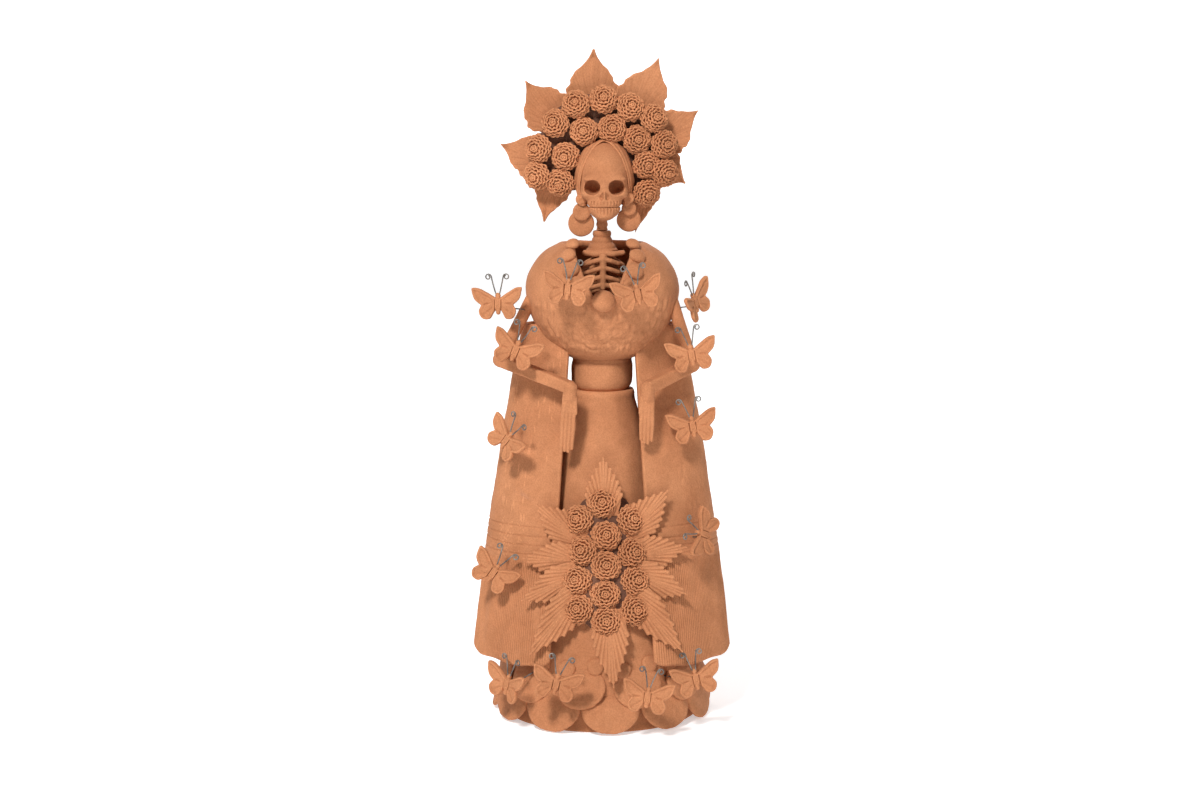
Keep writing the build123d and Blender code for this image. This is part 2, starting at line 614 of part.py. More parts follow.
def butterfly_place(centre, roll, yaw):
    """The butterfly's plane: face forward, turned to the side, then rolled."""
    turn = radians(yaw)
    face = Vector(sin(turn), -cos(turn), WING_TIP_BACK)
    side = Vector(cos(turn), sin(turn), 0).rotate(Axis((0, 0, 0), face), roll)
    return Plane(origin=centre, x_dir=side, z_dir=face)


def make_butterfly(centre, roll, yaw, root):
    """One butterfly and its wires, which are set in the clay."""
    place = butterfly_place(centre, roll, yaw)
    wires = [place * antenna(side) for side in (-1, 1)]
    back = place.origin - place.z_dir * 0.4
    wires.append(rod(root, tuple(back), WIRE_RADIUS))
    body = fitted(place * butterfly_blank(), *wires)
    return body, wires


# ---- the whole figure ----
def write(name, shape):
    """Write one node; a list of solids becomes one group."""
    if isinstance(shape, list):
        shape = Compound(children=[biggest(Part() + piece) for piece in shape])
    export_step(shape, f"parts/{name}.step")


def main():
    os.makedirs("parts", exist_ok=True)
    skirt = make_skirt()
    torso = make_torso_core()
    low = make_hem_low(skirt)
    middle = make_hem_middle(skirt, low)
    waist = make_waist_band()
    shawl = make_shawl(torso, waist)
    mantles = [make_mantle(side, shawl, torso) for side in (-1, 1)]
    cage = make_rib_cage(torso)
    clavicle = make_clavicle(cage)
    write("skirt", skirt)
    write("waist_band", waist)
    write("torso_core", torso)
    write("hem_discs_bottom", low)
    write("hem_discs_middle", middle)
    write("hem_discs_top", make_hem_pellets(skirt, middle))
    write("shawl", shawl)
    write("shawl_beads", make_shawl_beads(shawl))
    write("mantle_left", mantles[0])
    write("mantle_right", mantles[1])
    write("rib_cage", cage)
    write("clavicle", clavicle)
    write("neck_collar", make_neck_collar(cage, clavicle))
    for (side, points), mantle in zip(ARMS.items(), mantles):
        upper = make_upper_arm(points, shawl, mantle)
        forearm = make_forearm(points, upper)
        write(f"upper_arm_{side}", upper)
        write(f"forearm_{side}", forearm)
        write(f"hand_{side}", make_hand(points, forearm))

    mound = make_mound(mantles)
    flowers = make_bouquet_flowers(mound, skirt)
    write("bouquet_mound", mound)
    write("bouquet_flowers", flowers)
    write("bouquet_leaves", make_bouquet_leaves(mound, flowers, [skirt, *mantles]))

    bore = peg_room()
    skull = make_skull(bore)
    jaw = make_jaw(bore)
    hair = make_hair(skull, bore)
    hood = make_hood(skull, hair)
    head_flowers = make_head_flowers(hood, hair, skull)
    write("neck_peg", make_neck_peg())
    write("skull", skull)
    write("jaw", jaw)
    write("hair", hair)
    for side, discs in EARRINGS.items():
        write(f"earring_{side}", make_earring(discs, hair, skull, jaw))
    write("headdress_frame", hood)
    write("headdress_flowers", head_flowers)
    write("headdress_leaves", make_head_leaves(hood, head_flowers, hair))

    for name, facts in BUTTERFLIES.items():
        body, wires = make_butterfly(*facts)
        write(f"butterfly_{name}", body)
        write(f"butterfly_{name}_wires", wires)


main()
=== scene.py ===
import json
from math import cos, hypot, pi, radians, sin, tan

import bpy
import numpy as np
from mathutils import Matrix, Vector


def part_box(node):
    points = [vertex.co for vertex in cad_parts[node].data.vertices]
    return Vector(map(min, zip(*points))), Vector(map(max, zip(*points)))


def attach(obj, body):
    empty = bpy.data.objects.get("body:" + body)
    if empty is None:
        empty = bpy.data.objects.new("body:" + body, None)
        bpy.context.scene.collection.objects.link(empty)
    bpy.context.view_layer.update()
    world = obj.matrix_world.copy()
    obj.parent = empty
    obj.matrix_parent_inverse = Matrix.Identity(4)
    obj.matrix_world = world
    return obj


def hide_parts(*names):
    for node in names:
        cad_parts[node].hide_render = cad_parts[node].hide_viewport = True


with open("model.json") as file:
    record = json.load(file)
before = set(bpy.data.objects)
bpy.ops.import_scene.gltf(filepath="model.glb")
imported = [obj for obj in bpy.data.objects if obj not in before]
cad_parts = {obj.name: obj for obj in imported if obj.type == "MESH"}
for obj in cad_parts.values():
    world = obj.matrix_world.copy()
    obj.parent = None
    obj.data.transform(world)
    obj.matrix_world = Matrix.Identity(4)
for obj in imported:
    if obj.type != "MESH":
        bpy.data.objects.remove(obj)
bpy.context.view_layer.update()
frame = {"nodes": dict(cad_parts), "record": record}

# Skeleton lady in fired terracotta. Shapes are worked out in millimetres in the CAD frame,
# as closed quad meshes, and written to Blender in metres.
MM = 0.001
ROW = frame["record"]
BODY_OF = {node: body for body, nodes in ROW["behaviour"]["bodies"].items() for node in nodes}
SLOT_OF = {part["node"]: part["material_slot"] for part in ROW["subparts"]}

# ---- driving dimensions, as in the CAD ----
SKIRT = np.array([(0, 76.0), (60, 70.5), (120, 57.0), (180, 40.5), (248, 23.5)])
SKIRT_WALL = 5.0
SHAWL = np.array([(270, 15), (271, 21), (277, 34), (287, 44), (300, 52), (314, 56.5),
                  (327, 57.5), (341, 52.5), (353, 42), (360, 30)], float)
SHAWL_DEPTH = 0.84
SHAWL_Y = -3.0
SHAWL_WALL = 6.0
# Neckline: degrees from the front, and the height of the shawl's rim there
NECKLINE = np.array([(0, 317.0), (6, 318.5), (9.5, 326), (13.5, 334), (19, 343), (27, 351.5),
                     (38, 357.5), (52, 359.5), (181, 359.5)])
MANTLE = np.array([(49, 98.5, 84.0), (120, 90.0, 62.5), (180, 81.0, 45.5), (262, 67.0, 30.0),
                   (300, 59.0, 24.0)])
MANTLE_WALL = 4.0
MANTLE_EDGE = np.array([(44, 39.0), (305, 23.0)])
COMB_TOP = 125.0
COMB_TEETH = 112
RULED_LINES = (129, 135.5, 142, 149)
HEM_SIZES = {"hem_discs_bottom": (22.0, 16.5, 7.2), "hem_discs_middle": (18.6, 15.2, 6.6),
             "hem_discs_top": (6.3, 6.3, 4.6)}
HEM_SPLAY = (18, 15, 5)
# Neckline pellets, as shares of the CAD pellet: half-sizes, and how high the middle lies
PELLET_SWELL = (1.22, 1.16, 1.1)
PELLET_MIDDLE = 0.42
HEAD = np.array((1.7, -12.0, 0.0))
NECK_Y = -6.0
EYE = (8.8, 401.0)
MOUTH_Z = 386.0
RIB_HEIGHTS = (347.5, 341.0, 334.5, 328.5)
# Earring discs: centre x, centre height, radius
EARRINGS = {"left": [(-15.5, 391.5, 4.2), (-15.2, 382, 6.6), (-15.5, 373.2, 9.8)],
            "right": [(19.6, 392.5, 4.2), (20, 384.5, 5.4), (19.9, 376, 9.0)]}
ARMS = {
    "left": [(-50, -10, 322), (-76, -20, 272), (-23.6, -48, 255), (-26.7, -46, 205)],
    "right": [(50, -10, 322), (68, -20, 268.5), (33.9, -48, 255), (32.5, -46, 211)],
}
FOREARM_HALF = 4.8
BOUQUET_CENTRE = np.array((2.0, 126.0))
MOUND_HALF = np.array((31.0, 51.0))
MOUND_RISE = 7.0
HOOD_Z = 429.0
HOOD_HALF = (48.0, 41.0)
LEAF_FEET = [((-6, 460), 19.5), ((25, 456), 18.5), ((44, 437), 16.5), ((42, 415), 15.5),
             ((31, 398), 9), ((-35, 404), 12.5), ((-45, 419), 17), ((-34, 450), 18.5)]
# Petal rings: lean up from flat, in degrees, and how many petals
RINGS = [(0, 15), (15, 15), (30, 14), (45, 12), (60, 9), (75, 5)]
# Flower heads: radius, height, and how high their CAD domes stand
HEADDRESS_BLOOM = (11.3, 9.8, 8.5)
BOUQUET_BLOOM = (11.9, 10.4, 9.0)
# Leaf outlines: share of the length, and share of the half-width there
LEAF_OUTLINE = np.array([(0, 0.62), (0.15, 0.86), (0.33, 1.0), (0.48, 0.95), (0.62, 0.74),
                         (0.75, 0.44), (0.86, 0.20), (0.94, 0.08), (1.0, 0.012)])
FLUTED_OUTLINE = np.array([(-0.1, 0.74), (0.1, 0.94), (0.3, 1.0), (0.5, 0.86), (0.7, 0.58),
                           (0.86, 0.28), (1.0, 0.03)])
# Butterflies: roll in the front plane, and turn to the side, in degrees
BUTTERFLY_TURNS = {
    "01": (2, -10), "02": (-6, 0), "03": (12, 0), "04": (24, 58), "05": (-22, 0),
    "06": (10, 0), "07": (-38, -38), "08": (10, 0), "09": (-34, -8), "10": (68, 42),
    "11": (-12, -42), "12": (-13, 0), "13": (-8, 0), "14": (12, 8)}
WING_LIFT = radians(14)
WIRE_RADIUS = 0.5
# ---- studio, in metres and watts ----
WORLD_LIGHT = 0.25
FLOOR_GLOW = 0.46
LIGHTS = [("key", (-0.75, -2.05, 2.2), 0.5, 80.0), ("fill", (1.9, -1.7, 0.9), 1.6, 5.0),
          ("back", (0.6, 2.0, 1.6), 1.4, 16.0)]
LIGHT_TARGET = (0, 0, 0.24)
CAMERA_PLACE = (-0.0015, -1.8, 0.495)
CAMERA_DOWN = 8.1
CAMERA_LENS = 72
FLOOR_HALF = 9


# ---- noise and mesh arithmetic ----
def lattice(x, y, z, seed):
    """A repeatable number from 0 to 1 at each whole-number point."""
    mixed = (x * 374761393 + y * 668265263 + z * 1440662683 + seed * 974634777) & 0xFFFFFFFF
    mixed = ((mixed ^ (mixed >> 13)) * 1274126177) & 0xFFFFFFFF
    return ((mixed ^ (mixed >> 16)) & 0xFFFF) / 65535.0


def noise(points, size, seed=0):
    """Smooth noise from -1 to 1 with lumps of this size."""
    scaled = np.asarray(points, float) / size
    cell = np.floor(scaled).astype(np.int64)
    part = scaled - cell
    part = part * part * (3 - 2 * part)
    total = 0.0
    for corner in range(8):
        step = [(corner >> k) & 1 for k in range(3)]
        weight = 1.0
        for k in range(3):
            weight = weight * (part[..., k] if step[k] else 1 - part[..., k])
        total = total + weight * lattice(*(cell[..., k] + step[k] for k in range(3)), seed)
    return total * 2 - 1


def hand_marks(points, amount=1.0, seed=0):
    """The unevenness that hands and a damp cloth leave on clay, in millimetres."""
    return amount * (0.40 * noise(points, 16, seed) + 0.16 * noise(points, 5.5, seed + 1)
                     + 0.06 * noise(points, 1.9, seed + 2))


def smooth_step(value, low, high):
    """0 below low, 1 above high, and an even ramp between."""
    share = np.clip((value - low) / (high - low), 0, 1)
    return share * share * (3 - 2 * share)


def curve_through(table, value, column=1):
    """A smooth curve through a table's rows, read at these values of its first column."""
    x, y = table[:, 0], table[:, column]
    slope = np.gradient(y, x)
    value = np.clip(value, x[0], x[-1])
    row = np.clip(np.searchsorted(x, value) - 1, 0, len(x) - 2)
    span = x[row + 1] - x[row]
    t = (value - x[row]) / span
    rest = 1 - t
    return (y[row] * (1 + 2 * t) * rest ** 2 + slope[row] * span * t * rest ** 2
            + y[row + 1] * t ** 2 * (3 - 2 * t) - slope[row + 1] * span * t ** 2 * rest)


def unit(vector):
    """The vector at length one."""
    vector = np.asarray(vector, float)
    return vector / np.linalg.norm(vector, axis=-1, keepdims=True)


def mesh_normals(verts, quads):
    """A unit normal for each vertex."""
    a, b, c, d = (verts[quads[:, i]] for i in range(4))
    face = np.repeat(np.cross(c - a, d - b), 4, axis=0)
    total = [np.bincount(quads.ravel(), face[:, k], len(verts)) for k in range(3)]
    total = np.stack(total, -1)
    return total / np.maximum(np.linalg.norm(total, axis=1, keepdims=True), 1e-9)


def outward(verts, quads):
    """The quads, turned so that they face out of the solid."""
    a, b, c, d = (verts[quads[:, i]] for i in range(4))
    volume = np.einsum("ij,ij->i", a + c, np.cross(b - a, d - a)).sum()
    volume += np.einsum("ij,ij->i", a + c, np.cross(d - c, b - c)).sum()
    return quads if volume > 0 else quads[:, ::-1]


def relax(verts, quads, rounds):
    """Evens out a mesh: each vertex moves half-way to its neighbours' mean."""
    start, end = quads.ravel(), np.roll(quads, -1, 1).ravel()
    count = np.bincount(start, minlength=len(verts)) + np.bincount(end, minlength=len(verts))
    for _ in range(rounds):
        near = [np.bincount(start, verts[end, k], len(verts))
                + np.bincount(end, verts[start, k], len(verts)) for k in range(3)]
        verts = (verts + np.stack(near, -1) / np.maximum(count, 1)[:, None]) / 2
    return verts


def raised(shape, height):
    """A mesh whose vertices move out by height(vertices)."""
    verts, quads = shape
    return verts + mesh_normals(verts, quads) * height(verts)[:, None], quads


def gather(shapes):
    """Several meshes as one."""
    verts, quads, count = [], [], 0
    for v, q in shapes:
        verts.append(v)
        quads.append(q + count)
        count += len(v)
    return np.concatenate(verts), np.concatenate(quads)


def moved(shape, origin, axes=None):
    """A mesh turned so that its x, y and z lie along these axes, then moved."""
    verts, quads = shape
    verts = verts if axes is None else verts @ np.asarray(axes, float)
    return verts + np.asarray(origin, float), quads


def grid_quads(index, wrap=False):
    """The quads between neighbours in a grid of vertex numbers."""
    index = np.concatenate([index, index[:, :1]], 1) if wrap else index
    return np.stack([index[:-1, :-1], index[1:, :-1], index[1:, 1:], index[:-1, 1:]],
                    -1).reshape(-1, 4)


def slab(mid, half, front=0.0, back=0.0, wrap=False):
    """A closed sheet round a grid of middle points. It thins to nothing at its border,
    and front and back are extra heights on its two faces."""
    rows, columns = half.shape
    along = np.gradient(mid, axis=0)
    if wrap:
        across = np.roll(mid, -1, 1) - np.roll(mid, 1, 1)
    else:
        across = np.gradient(mid, axis=1)
    normal = np.cross(across, along)
    normal /= np.maximum(np.linalg.norm(normal, axis=-1, keepdims=True), 1e-9)
    inner = np.zeros(half.shape, bool)
    inner[1:-1, (slice(None) if wrap else slice(1, -1))] = True
    fade = np.where(inner, np.clip(half / half.max() * 1.6, 0, 1), 0)
    top = mid + normal * (half + front * fade)[..., None]
    low = mid - normal * (half + back * fade)[..., None]
    index = np.arange(rows * columns).reshape(rows, columns)
    under = index.copy()
    under[inner] = rows * columns + np.arange(inner.sum())
    verts = np.concatenate([top.reshape(-1, 3), low[inner]])
    quads = np.concatenate([grid_quads(index, wrap)[:, ::-1], grid_quads(under, wrap)])
    return verts, outward(verts, quads)


def rounded_edge(distance, radius):
    """The share of the full thickness at a distance from a rounded edge."""
    return np.sqrt(np.maximum(1 - (1 - np.clip(distance / radius, 0, 1)) ** 2, 0))


def tube(path, radius, sides=8):
    """A round wire along a list of points, closed at both ends."""
    path = np.asarray(path, float)
    run = unit(np.gradient(path, axis=0))
    side = unit(np.cross(run[0], (0.31, 0.27, 0.91)))
    rings = []
    for point, heading in zip(path, run):
        side = unit(side - heading * side.dot(heading))
        up = np.cross(heading, side)
        turn = np.arange(sides) * 2 * pi / sides
        rings.append(point + radius * (np.cos(turn)[:, None] * side + np.sin(turn)[:, None] * up))
    ends = [np.repeat(path[:1], sides, 0), np.repeat(path[-1:], sides, 0)]
    rings = np.array([(rings[0] + ends[0]) / 2] + rings + [(rings[-1] + ends[1]) / 2])
    count = len(rings)
    grid = np.arange(count * sides).reshape(count, sides)
    caps = []
    for ring, order in ((grid[0], 1), (grid[-1], -1)):
        for i in range(1, sides - 2, 2):
            caps.append([ring[0], ring[i], ring[i + 1], ring[i + 2]][::order])
    return rings.reshape(-1, 3), np.concatenate([grid_quads(grid, True), np.array(caps)])


# ---- sculpting with distance fields ----
def surface_nets(field, low, step):
    """The closed quad mesh of a field's zero surface; inside is negative."""
    inside = field < 0
    shape = np.array(field.shape) - 1
    corners = [(i, j, k) for i in (0, 1) for j in (0, 1) for k in (0, 1)]

    def part(grid, corner):
        return grid[tuple(slice(c, c + s) for c, s in zip(corner, shape))]

    count = sum(part(inside, c).astype(np.int8) for c in corners)
    cells = np.argwhere((count > 0) & (count < 8))
    number = np.full(shape, -1, np.int64)
    number[tuple(cells.T)] = np.arange(len(cells))
    values = np.stack([field[tuple((cells + c).T)] for c in corners], -1)
    total = np.zeros((len(cells), 3))
    hits = np.zeros(len(cells))
    for a, b in [(0, 1), (2, 3), (4, 5), (6, 7), (0, 2), (1, 3), (4, 6), (5, 7),
                 (0, 4), (1, 5), (2, 6), (3, 7)]:
        crossed = (values[:, a] < 0) != (values[:, b] < 0)
        gap = np.where(crossed, values[:, a] - values[:, b], 1.0)
        share = np.where(crossed, values[:, a] / gap, 0.0)
        first, last = np.array(corners[a]), np.array(corners[b])
        total += crossed[:, None] * (first + (last - first) * share[:, None])
        hits += crossed
    verts = np.asarray(low) + step * (cells + total / hits[:, None])
    quads = []
    for axis in range(3):
        one, two = [k for k in range(3) if k != axis]
        body = [slice(1, -1)] * 3
        body[axis] = slice(0, -1)
        ahead = list(body)
        ahead[axis] = slice(1, None)
        start, end = inside[tuple(body)], inside[tuple(ahead)]
        for flip in (False, True):
            edges = np.argwhere((end & ~start) if flip else (start & ~end))
            shift = np.ones(3, int)
            shift[axis] = 0
            edges = edges + shift
            around = []
            for back_one, back_two in ((1, 1), (0, 1), (0, 0), (1, 0)):
                cell = edges.copy()
                cell[:, one] -= back_one
                cell[:, two] -= back_two
                around.append(number[tuple(cell.T)])
            ring = np.stack(around, -1)
            quads.append(ring[:, ::-1] if flip != (axis == 1) else ring)
    quads = np.concatenate(quads)
    return verts, outward(verts, quads)


def sculpt(shape, low, high, step, rounds=1, marks=0.6, seed=0):
    """The mesh of a distance field inside a box, evened out and marked by hand."""
    axes = [np.arange(a, b + step, step, dtype=np.float32) for a, b in zip(low, high)]
    points = np.stack(np.meshgrid(*axes, indexing="ij"), -1)
    verts, quads = surface_nets(shape(points), low, step)
    verts = relax(verts, quads, rounds)
    return raised((verts, quads), lambda p: hand_marks(p, marks, seed))


def ball(p, centre, radii):
    """Distance to an ellipsoid, nearly."""
    radii = np.asarray(radii, np.float32)
    q = (p - np.asarray(centre, np.float32)) / radii
    reach = np.sqrt((q * q).sum(-1))
    slope = np.sqrt(((q / radii) ** 2).sum(-1))
    return reach * (reach - 1) / np.maximum(slope, 1e-6)


def capsule(p, a, b, radius, end_radius=None):
    """Distance to a round-ended rod, which may taper."""
    a, b = np.asarray(a, np.float32), np.asarray(b, np.float32)
    run = b - a
    share = np.clip(((p - a) * run).sum(-1) / (run * run).sum(), 0, 1)
    far = radius if end_radius is None else end_radius
    gap = p - a - share[..., None] * run
    return np.sqrt((gap * gap).sum(-1)) - (radius + (far - radius) * share)


def bar(p, a, b, half_width, half_height, edge, up=(0, 0, 1)):
    """Distance to a bar with rounded edges, from one point to another."""
    a, b = np.asarray(a, float), np.asarray(b, float)
    run = unit(b - a)
    side = unit(np.cross(run, up))
    rise = np.cross(side, run)
    middle, half = (a + b) / 2, np.linalg.norm(b - a) / 2
    q = p - middle.astype(np.float32)
    local = np.stack([np.abs(q @ v.astype(np.float32)) for v in (side, rise, run)], -1)
    local = local - np.array((half_width - edge, half_height - edge, half - edge), np.float32)
    out = np.sqrt((np.maximum(local, 0) ** 2).sum(-1))
    return out + np.minimum(local.max(-1), 0) - edge


def join(a, b, blend=1.0):
    """Two shapes as one, with a soft fillet between them."""
    share = np.clip(0.5 + 0.5 * (b - a) / blend, 0, 1)
    return b * (1 - share) + a * share - blend * share * (1 - share)


def carve(a, b, blend=0.4):
    """One shape less another, with a soft edge."""
    return -join(-a, b, blend)


# ---- materials ----
def node(tree, kind, **values):
    """A new shader node, with properties by attribute and inputs by their names."""
    made = tree.nodes.new(kind)
    for name, value in values.items():
        if hasattr(made, name):
            setattr(made, name, value)
        else:
            made.inputs[name.replace("_", " ")].default_value = value
    return made


def new_material(name):
    """A new material, its node tree and its shader."""
    made = bpy.data.materials.new(name)
    made.use_nodes = True
    return made, made.node_tree, made.node_tree.nodes["Principled BSDF"]


def set_inputs(shader, **values):
    """Sets a node's inputs by their names."""
    for name, value in values.items():
        shader.inputs[name.replace("_", " ")].default_value = value


def ramp(tree, source, low, high, dark, light):
    """A colour ramp fed by a value."""
    made = tree.nodes.new("ShaderNodeValToRGB")
    made.color_ramp.elements[0].position = low
    made.color_ramp.elements[1].position = high
    made.color_ramp.elements[0].color = (*dark, 1)
    made.color_ramp.elements[1].color = (*light, 1)
    tree.links.new(source, made.inputs["Fac"])
    return made.outputs["Color"]


def mixed(tree, kind, factor, one, two):
    """Two colours mixed; the factor is a number or a socket."""
    made = tree.nodes.new("ShaderNodeMix")
    made.data_type = "RGBA"
    made.blend_type = kind
    if isinstance(factor, float):
        made.inputs["Factor"].default_value = factor
    else:
        tree.links.new(factor, made.inputs["Factor"])
    tree.links.new(one, made.inputs[6])
    tree.links.new(two, made.inputs[7])
    return made.outputs[2]


def grain(tree, where, size_mm, detail=3.0, distortion=0.0):
    """A noise texture whose lumps are this many millimetres across."""
    made = node(tree, "ShaderNodeTexNoise", Scale=1000.0 / size_mm, Detail=detail,
                Roughness=0.6, Distortion=distortion)
    tree.links.new(where, made.inputs["Vector"])
    return made.outputs["Fac"]


def clay(name, dark, light, cloud, worn, cloud_start=0.60):
    """Unglazed fired clay: mottled, grainy, clouded by the fire, with painted shade in its crevices
    and painted light on its ridges.
    """
    made, tree, shader = new_material(name)
    where = node(tree, "ShaderNodeTexCoord").outputs["Object"]
    colour = ramp(tree, grain(tree, where, 55, 4), 0.36, 0.66, dark, light)
    patch = ramp(tree, grain(tree, where, 17, 5, 0.8), 0.38, 0.66, (0.88, 0.87, 0.86),
                 (1.05, 1.05, 1.05))
    colour = mixed(tree, "MULTIPLY", 0.75, colour, patch)
    fire = ramp(tree, grain(tree, where, 90, 5, 1.2), cloud_start, cloud_start + 0.13,
                (0, 0, 0), (0.55, 0.55, 0.55))
    smoke = ramp(tree, grain(tree, where, 8, 4), 0.3, 0.7, tuple(c * 0.8 for c in cloud), cloud)
    colour = mixed(tree, "MIX", fire, colour, smoke)
    specks = ramp(tree, grain(tree, where, 1.0, 3), 0.33, 0.60, (0.80, 0.78, 0.76),
                  (1.04, 1.04, 1.04))
    colour = mixed(tree, "MULTIPLY", 0.8, colour, specks)
    # Painted shade and light: the mesh's pointiness darkens the crevices and pales the ridges.
    edges = node(tree, "ShaderNodeNewGeometry").outputs["Pointiness"]
    hollow = ramp(tree, edges, 0.42, 0.56, (0.62, 0.56, 0.52), (1.10, 1.10, 1.10))
    colour = mixed(tree, "MULTIPLY", 0.85, colour, hollow)
    tree.links.new(colour, shader.inputs["Base Color"])
    matte = ramp(tree, grain(tree, where, 6, 3), 0.3, 0.7, (worn,) * 3, (0.96,) * 3)
    tree.links.new(matte, shader.inputs["Roughness"])
    set_inputs(shader, Specular_IOR_Level=0.22)
    coarse = node(tree, "ShaderNodeBump", Strength=0.45, Distance=0.00045)
    tree.links.new(grain(tree, where, 3.2, 5), coarse.inputs["Height"])
    fine = node(tree, "ShaderNodeBump", Strength=0.55, Distance=0.00016)
    tree.links.new(grain(tree, where, 0.7, 3), fine.inputs["Height"])
    tree.links.new(coarse.outputs["Normal"], fine.inputs["Normal"])
    tree.links.new(fine.outputs["Normal"], shader.inputs["Normal"])
    return made


def binding_wire():
    """Annealed steel wire, greyed by the fire's heat and by handling."""
    made, tree, shader = new_material("annealed_wire")
    where = node(tree, "ShaderNodeTexCoord").outputs["Object"]
    colour = ramp(tree, grain(tree, where, 5, 4), 0.35, 0.68, (0.10, 0.085, 0.075),
                  (0.30, 0.27, 0.24))
    tree.links.new(colour, shader.inputs["Base Color"])
    dull = ramp(tree, grain(tree, where, 1.5, 3), 0.3, 0.7, (0.34,) * 3, (0.62,) * 3)
    tree.links.new(dull, shader.inputs["Roughness"])
    set_inputs(shader, Metallic=0.6)
    return made


MATERIALS = {
    "terracotta": clay("terracotta", (0.48, 0.196, 0.088), (0.57, 0.248, 0.116),
                       (0.37, 0.205, 0.150), 0.80, 0.64),
    # Near-black clay, darker than the terracotta all through; it darkens the pads behind the
    # flowers, and with them the gaps between the flowers.
    "smoked_clay": clay("smoked_clay", (0.10, 0.045, 0.030), (0.21, 0.10, 0.062),
                        (0.08, 0.045, 0.035), 0.82),
    "wire": binding_wire(),
}


# ---- pieces in the frame ----
def add(name, shape, *nodes):
    """A finished piece that stands for these CAD nodes and moves with their body."""
    verts, quads = shape
    mesh = bpy.data.meshes.new(name)
    mesh.from_pydata((verts * MM).tolist(), [], quads.tolist())
    mesh.shade_smooth()
    piece = bpy.data.objects.new(name, mesh)
    bpy.context.scene.collection.objects.link(piece)
    slot = SLOT_OF[nodes[0]]
    mesh.materials.append(MATERIALS[slot])
    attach(piece, BODY_OF[nodes[0]])
    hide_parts(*nodes)
    return piece


def add_sculpted(name, shape, cad_node, pad, *how):
    """A piece sculpted from a distance field, in its CAD node's box with room round it."""
    low, high = box_mm(cad_node)
    add(name, sculpt(shape, low - pad, high + pad, *how), cad_node)


def node_points(name):
    """A CAD node's vertices in millimetres."""
    mesh = frame["nodes"][name].data
    flat = np.empty(len(mesh.vertices) * 3)
    mesh.vertices.foreach_get("co", flat)
    return flat.reshape(-1, 3) / MM


def islands(name):
    """The loose pieces of a CAD node, each as its vertices in millimetres."""
    points, label = np.unique(np.round(node_points(name), 2), axis=0, return_inverse=True)
    mesh = frame["nodes"][name].data
    ends = np.empty(len(mesh.edges) * 2, int)
    mesh.edges.foreach_get("vertices", ends)
    a, b = label.ravel()[ends.reshape(-1, 2)].T
    group = np.arange(len(points))
    while True:
        low = np.minimum(group[a], group[b])
        spread = group.copy()
        np.minimum.at(spread, a, low)
        np.minimum.at(spread, b, low)
        spread = spread[spread]
        if (spread == group).all():
            return [points[group == g] for g in np.unique(group)]
        group = spread


def box_mm(name):
    """A CAD node's lowest and highest corners in millimetres."""
    low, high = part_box(name)
    return np.array(low) / MM, np.array(high) / MM


# ---- dress ----
def skirt_radius(height):
    """The skirt's outer radius at a height."""
    return curve_through(SKIRT, height)


def skirt_lean(height):
    """The skirt wall's lean from upright, in radians."""
    return np.arctan2(skirt_radius(height - 8) - skirt_radius(height + 8), 16)


def on_skirt(x, height, rise):
    """Axes and origin of a plane on the skirt's front, a rise above it, facing out."""
    radius = skirt_radius(height) + rise
    turn = np.arcsin(np.clip(x / radius, -1, 1))
    return skirt_plane(turn, radius, height)


def skirt_plane(turn, radius, height):
    """Axes and origin of the plane that touches the skirt at a turn from the front."""
    lean = skirt_lean(height)
    out = np.array((sin(turn) * cos(lean), -cos(turn) * cos(lean), sin(lean)))
    side = np.array((cos(turn), sin(turn), 0))
    origin = np.array((radius * sin(turn), -radius * cos(turn), height))
    return np.array((side, np.cross(out, side), out)), origin


def ring_grid(profile, columns):
    """A profile of radius and height turned round the Z axis."""
    turn = np.arange(columns) * 2 * pi / columns
    radius, height = profile[:, 0][:, None], profile[:, 1][:, None]
    return np.stack([radius * np.sin(turn), -radius * np.cos(turn),
                     height + 0 * turn], -1)


def swell_out(grid, swell):
    """Moves a turned grid's points away from the Z axis by these amounts."""
    factor = 1 + swell / np.maximum(np.hypot(grid[..., 0], grid[..., 1]), 5)
    grid[..., :2] *= factor[..., None]


def closed_ring(grid):
    """A closed mesh from a grid that wraps both ways."""
    rows, columns = grid.shape[:2]
    index = np.arange(rows * columns).reshape(rows, columns)
    right, up = np.roll(index, -1, 1), np.roll(index, -1, 0)
    corner = np.roll(right, -1, 0)
    quads = np.stack([index, right, corner, up], -1).reshape(-1, 4)
    verts = grid.reshape(-1, 3)
    return verts, outward(verts, quads)


def make_skirt():
    """The hollow skirt, with soft folds that fall from the waist."""
    top = SKIRT[-1, 0]
    z = np.arange(0, top + 0.1, 1.6)
    outer = np.stack([skirt_radius(z), z], -1)
    inner_z = np.linspace(top - SKIRT_WALL, 0, 60)
    inner = np.stack([skirt_radius(inner_z) - SKIRT_WALL, inner_z], -1)
    roof = np.array([(2.0, top), (2.0, top - SKIRT_WALL)])
    profile = np.concatenate([outer, roof, inner])
    grid = ring_grid(profile, 300)
    turn = np.arctan2(grid[..., 0], -grid[..., 1])
    height = grid[..., 2]
    folds = 0.35 * np.sin(9 * turn + 1.1 * np.sin(2 * turn) + height / 60)
    folds = folds * smooth_step(height, 10, 70) * (1 - 0.6 * smooth_step(height, 215, 247))
    lip = 0.8 * np.exp(-((height - 245.5) / 2.0) ** 2)
    tuck = -3.5 * (1 - smooth_step(height, 4, 30))
    swell = folds + lip + tuck + hand_marks(grid, 0.9, 3)
    swell[len(outer):] = 0
    swell_out(grid, swell)
    add("skirt_clay", closed_ring(grid), "skirt")


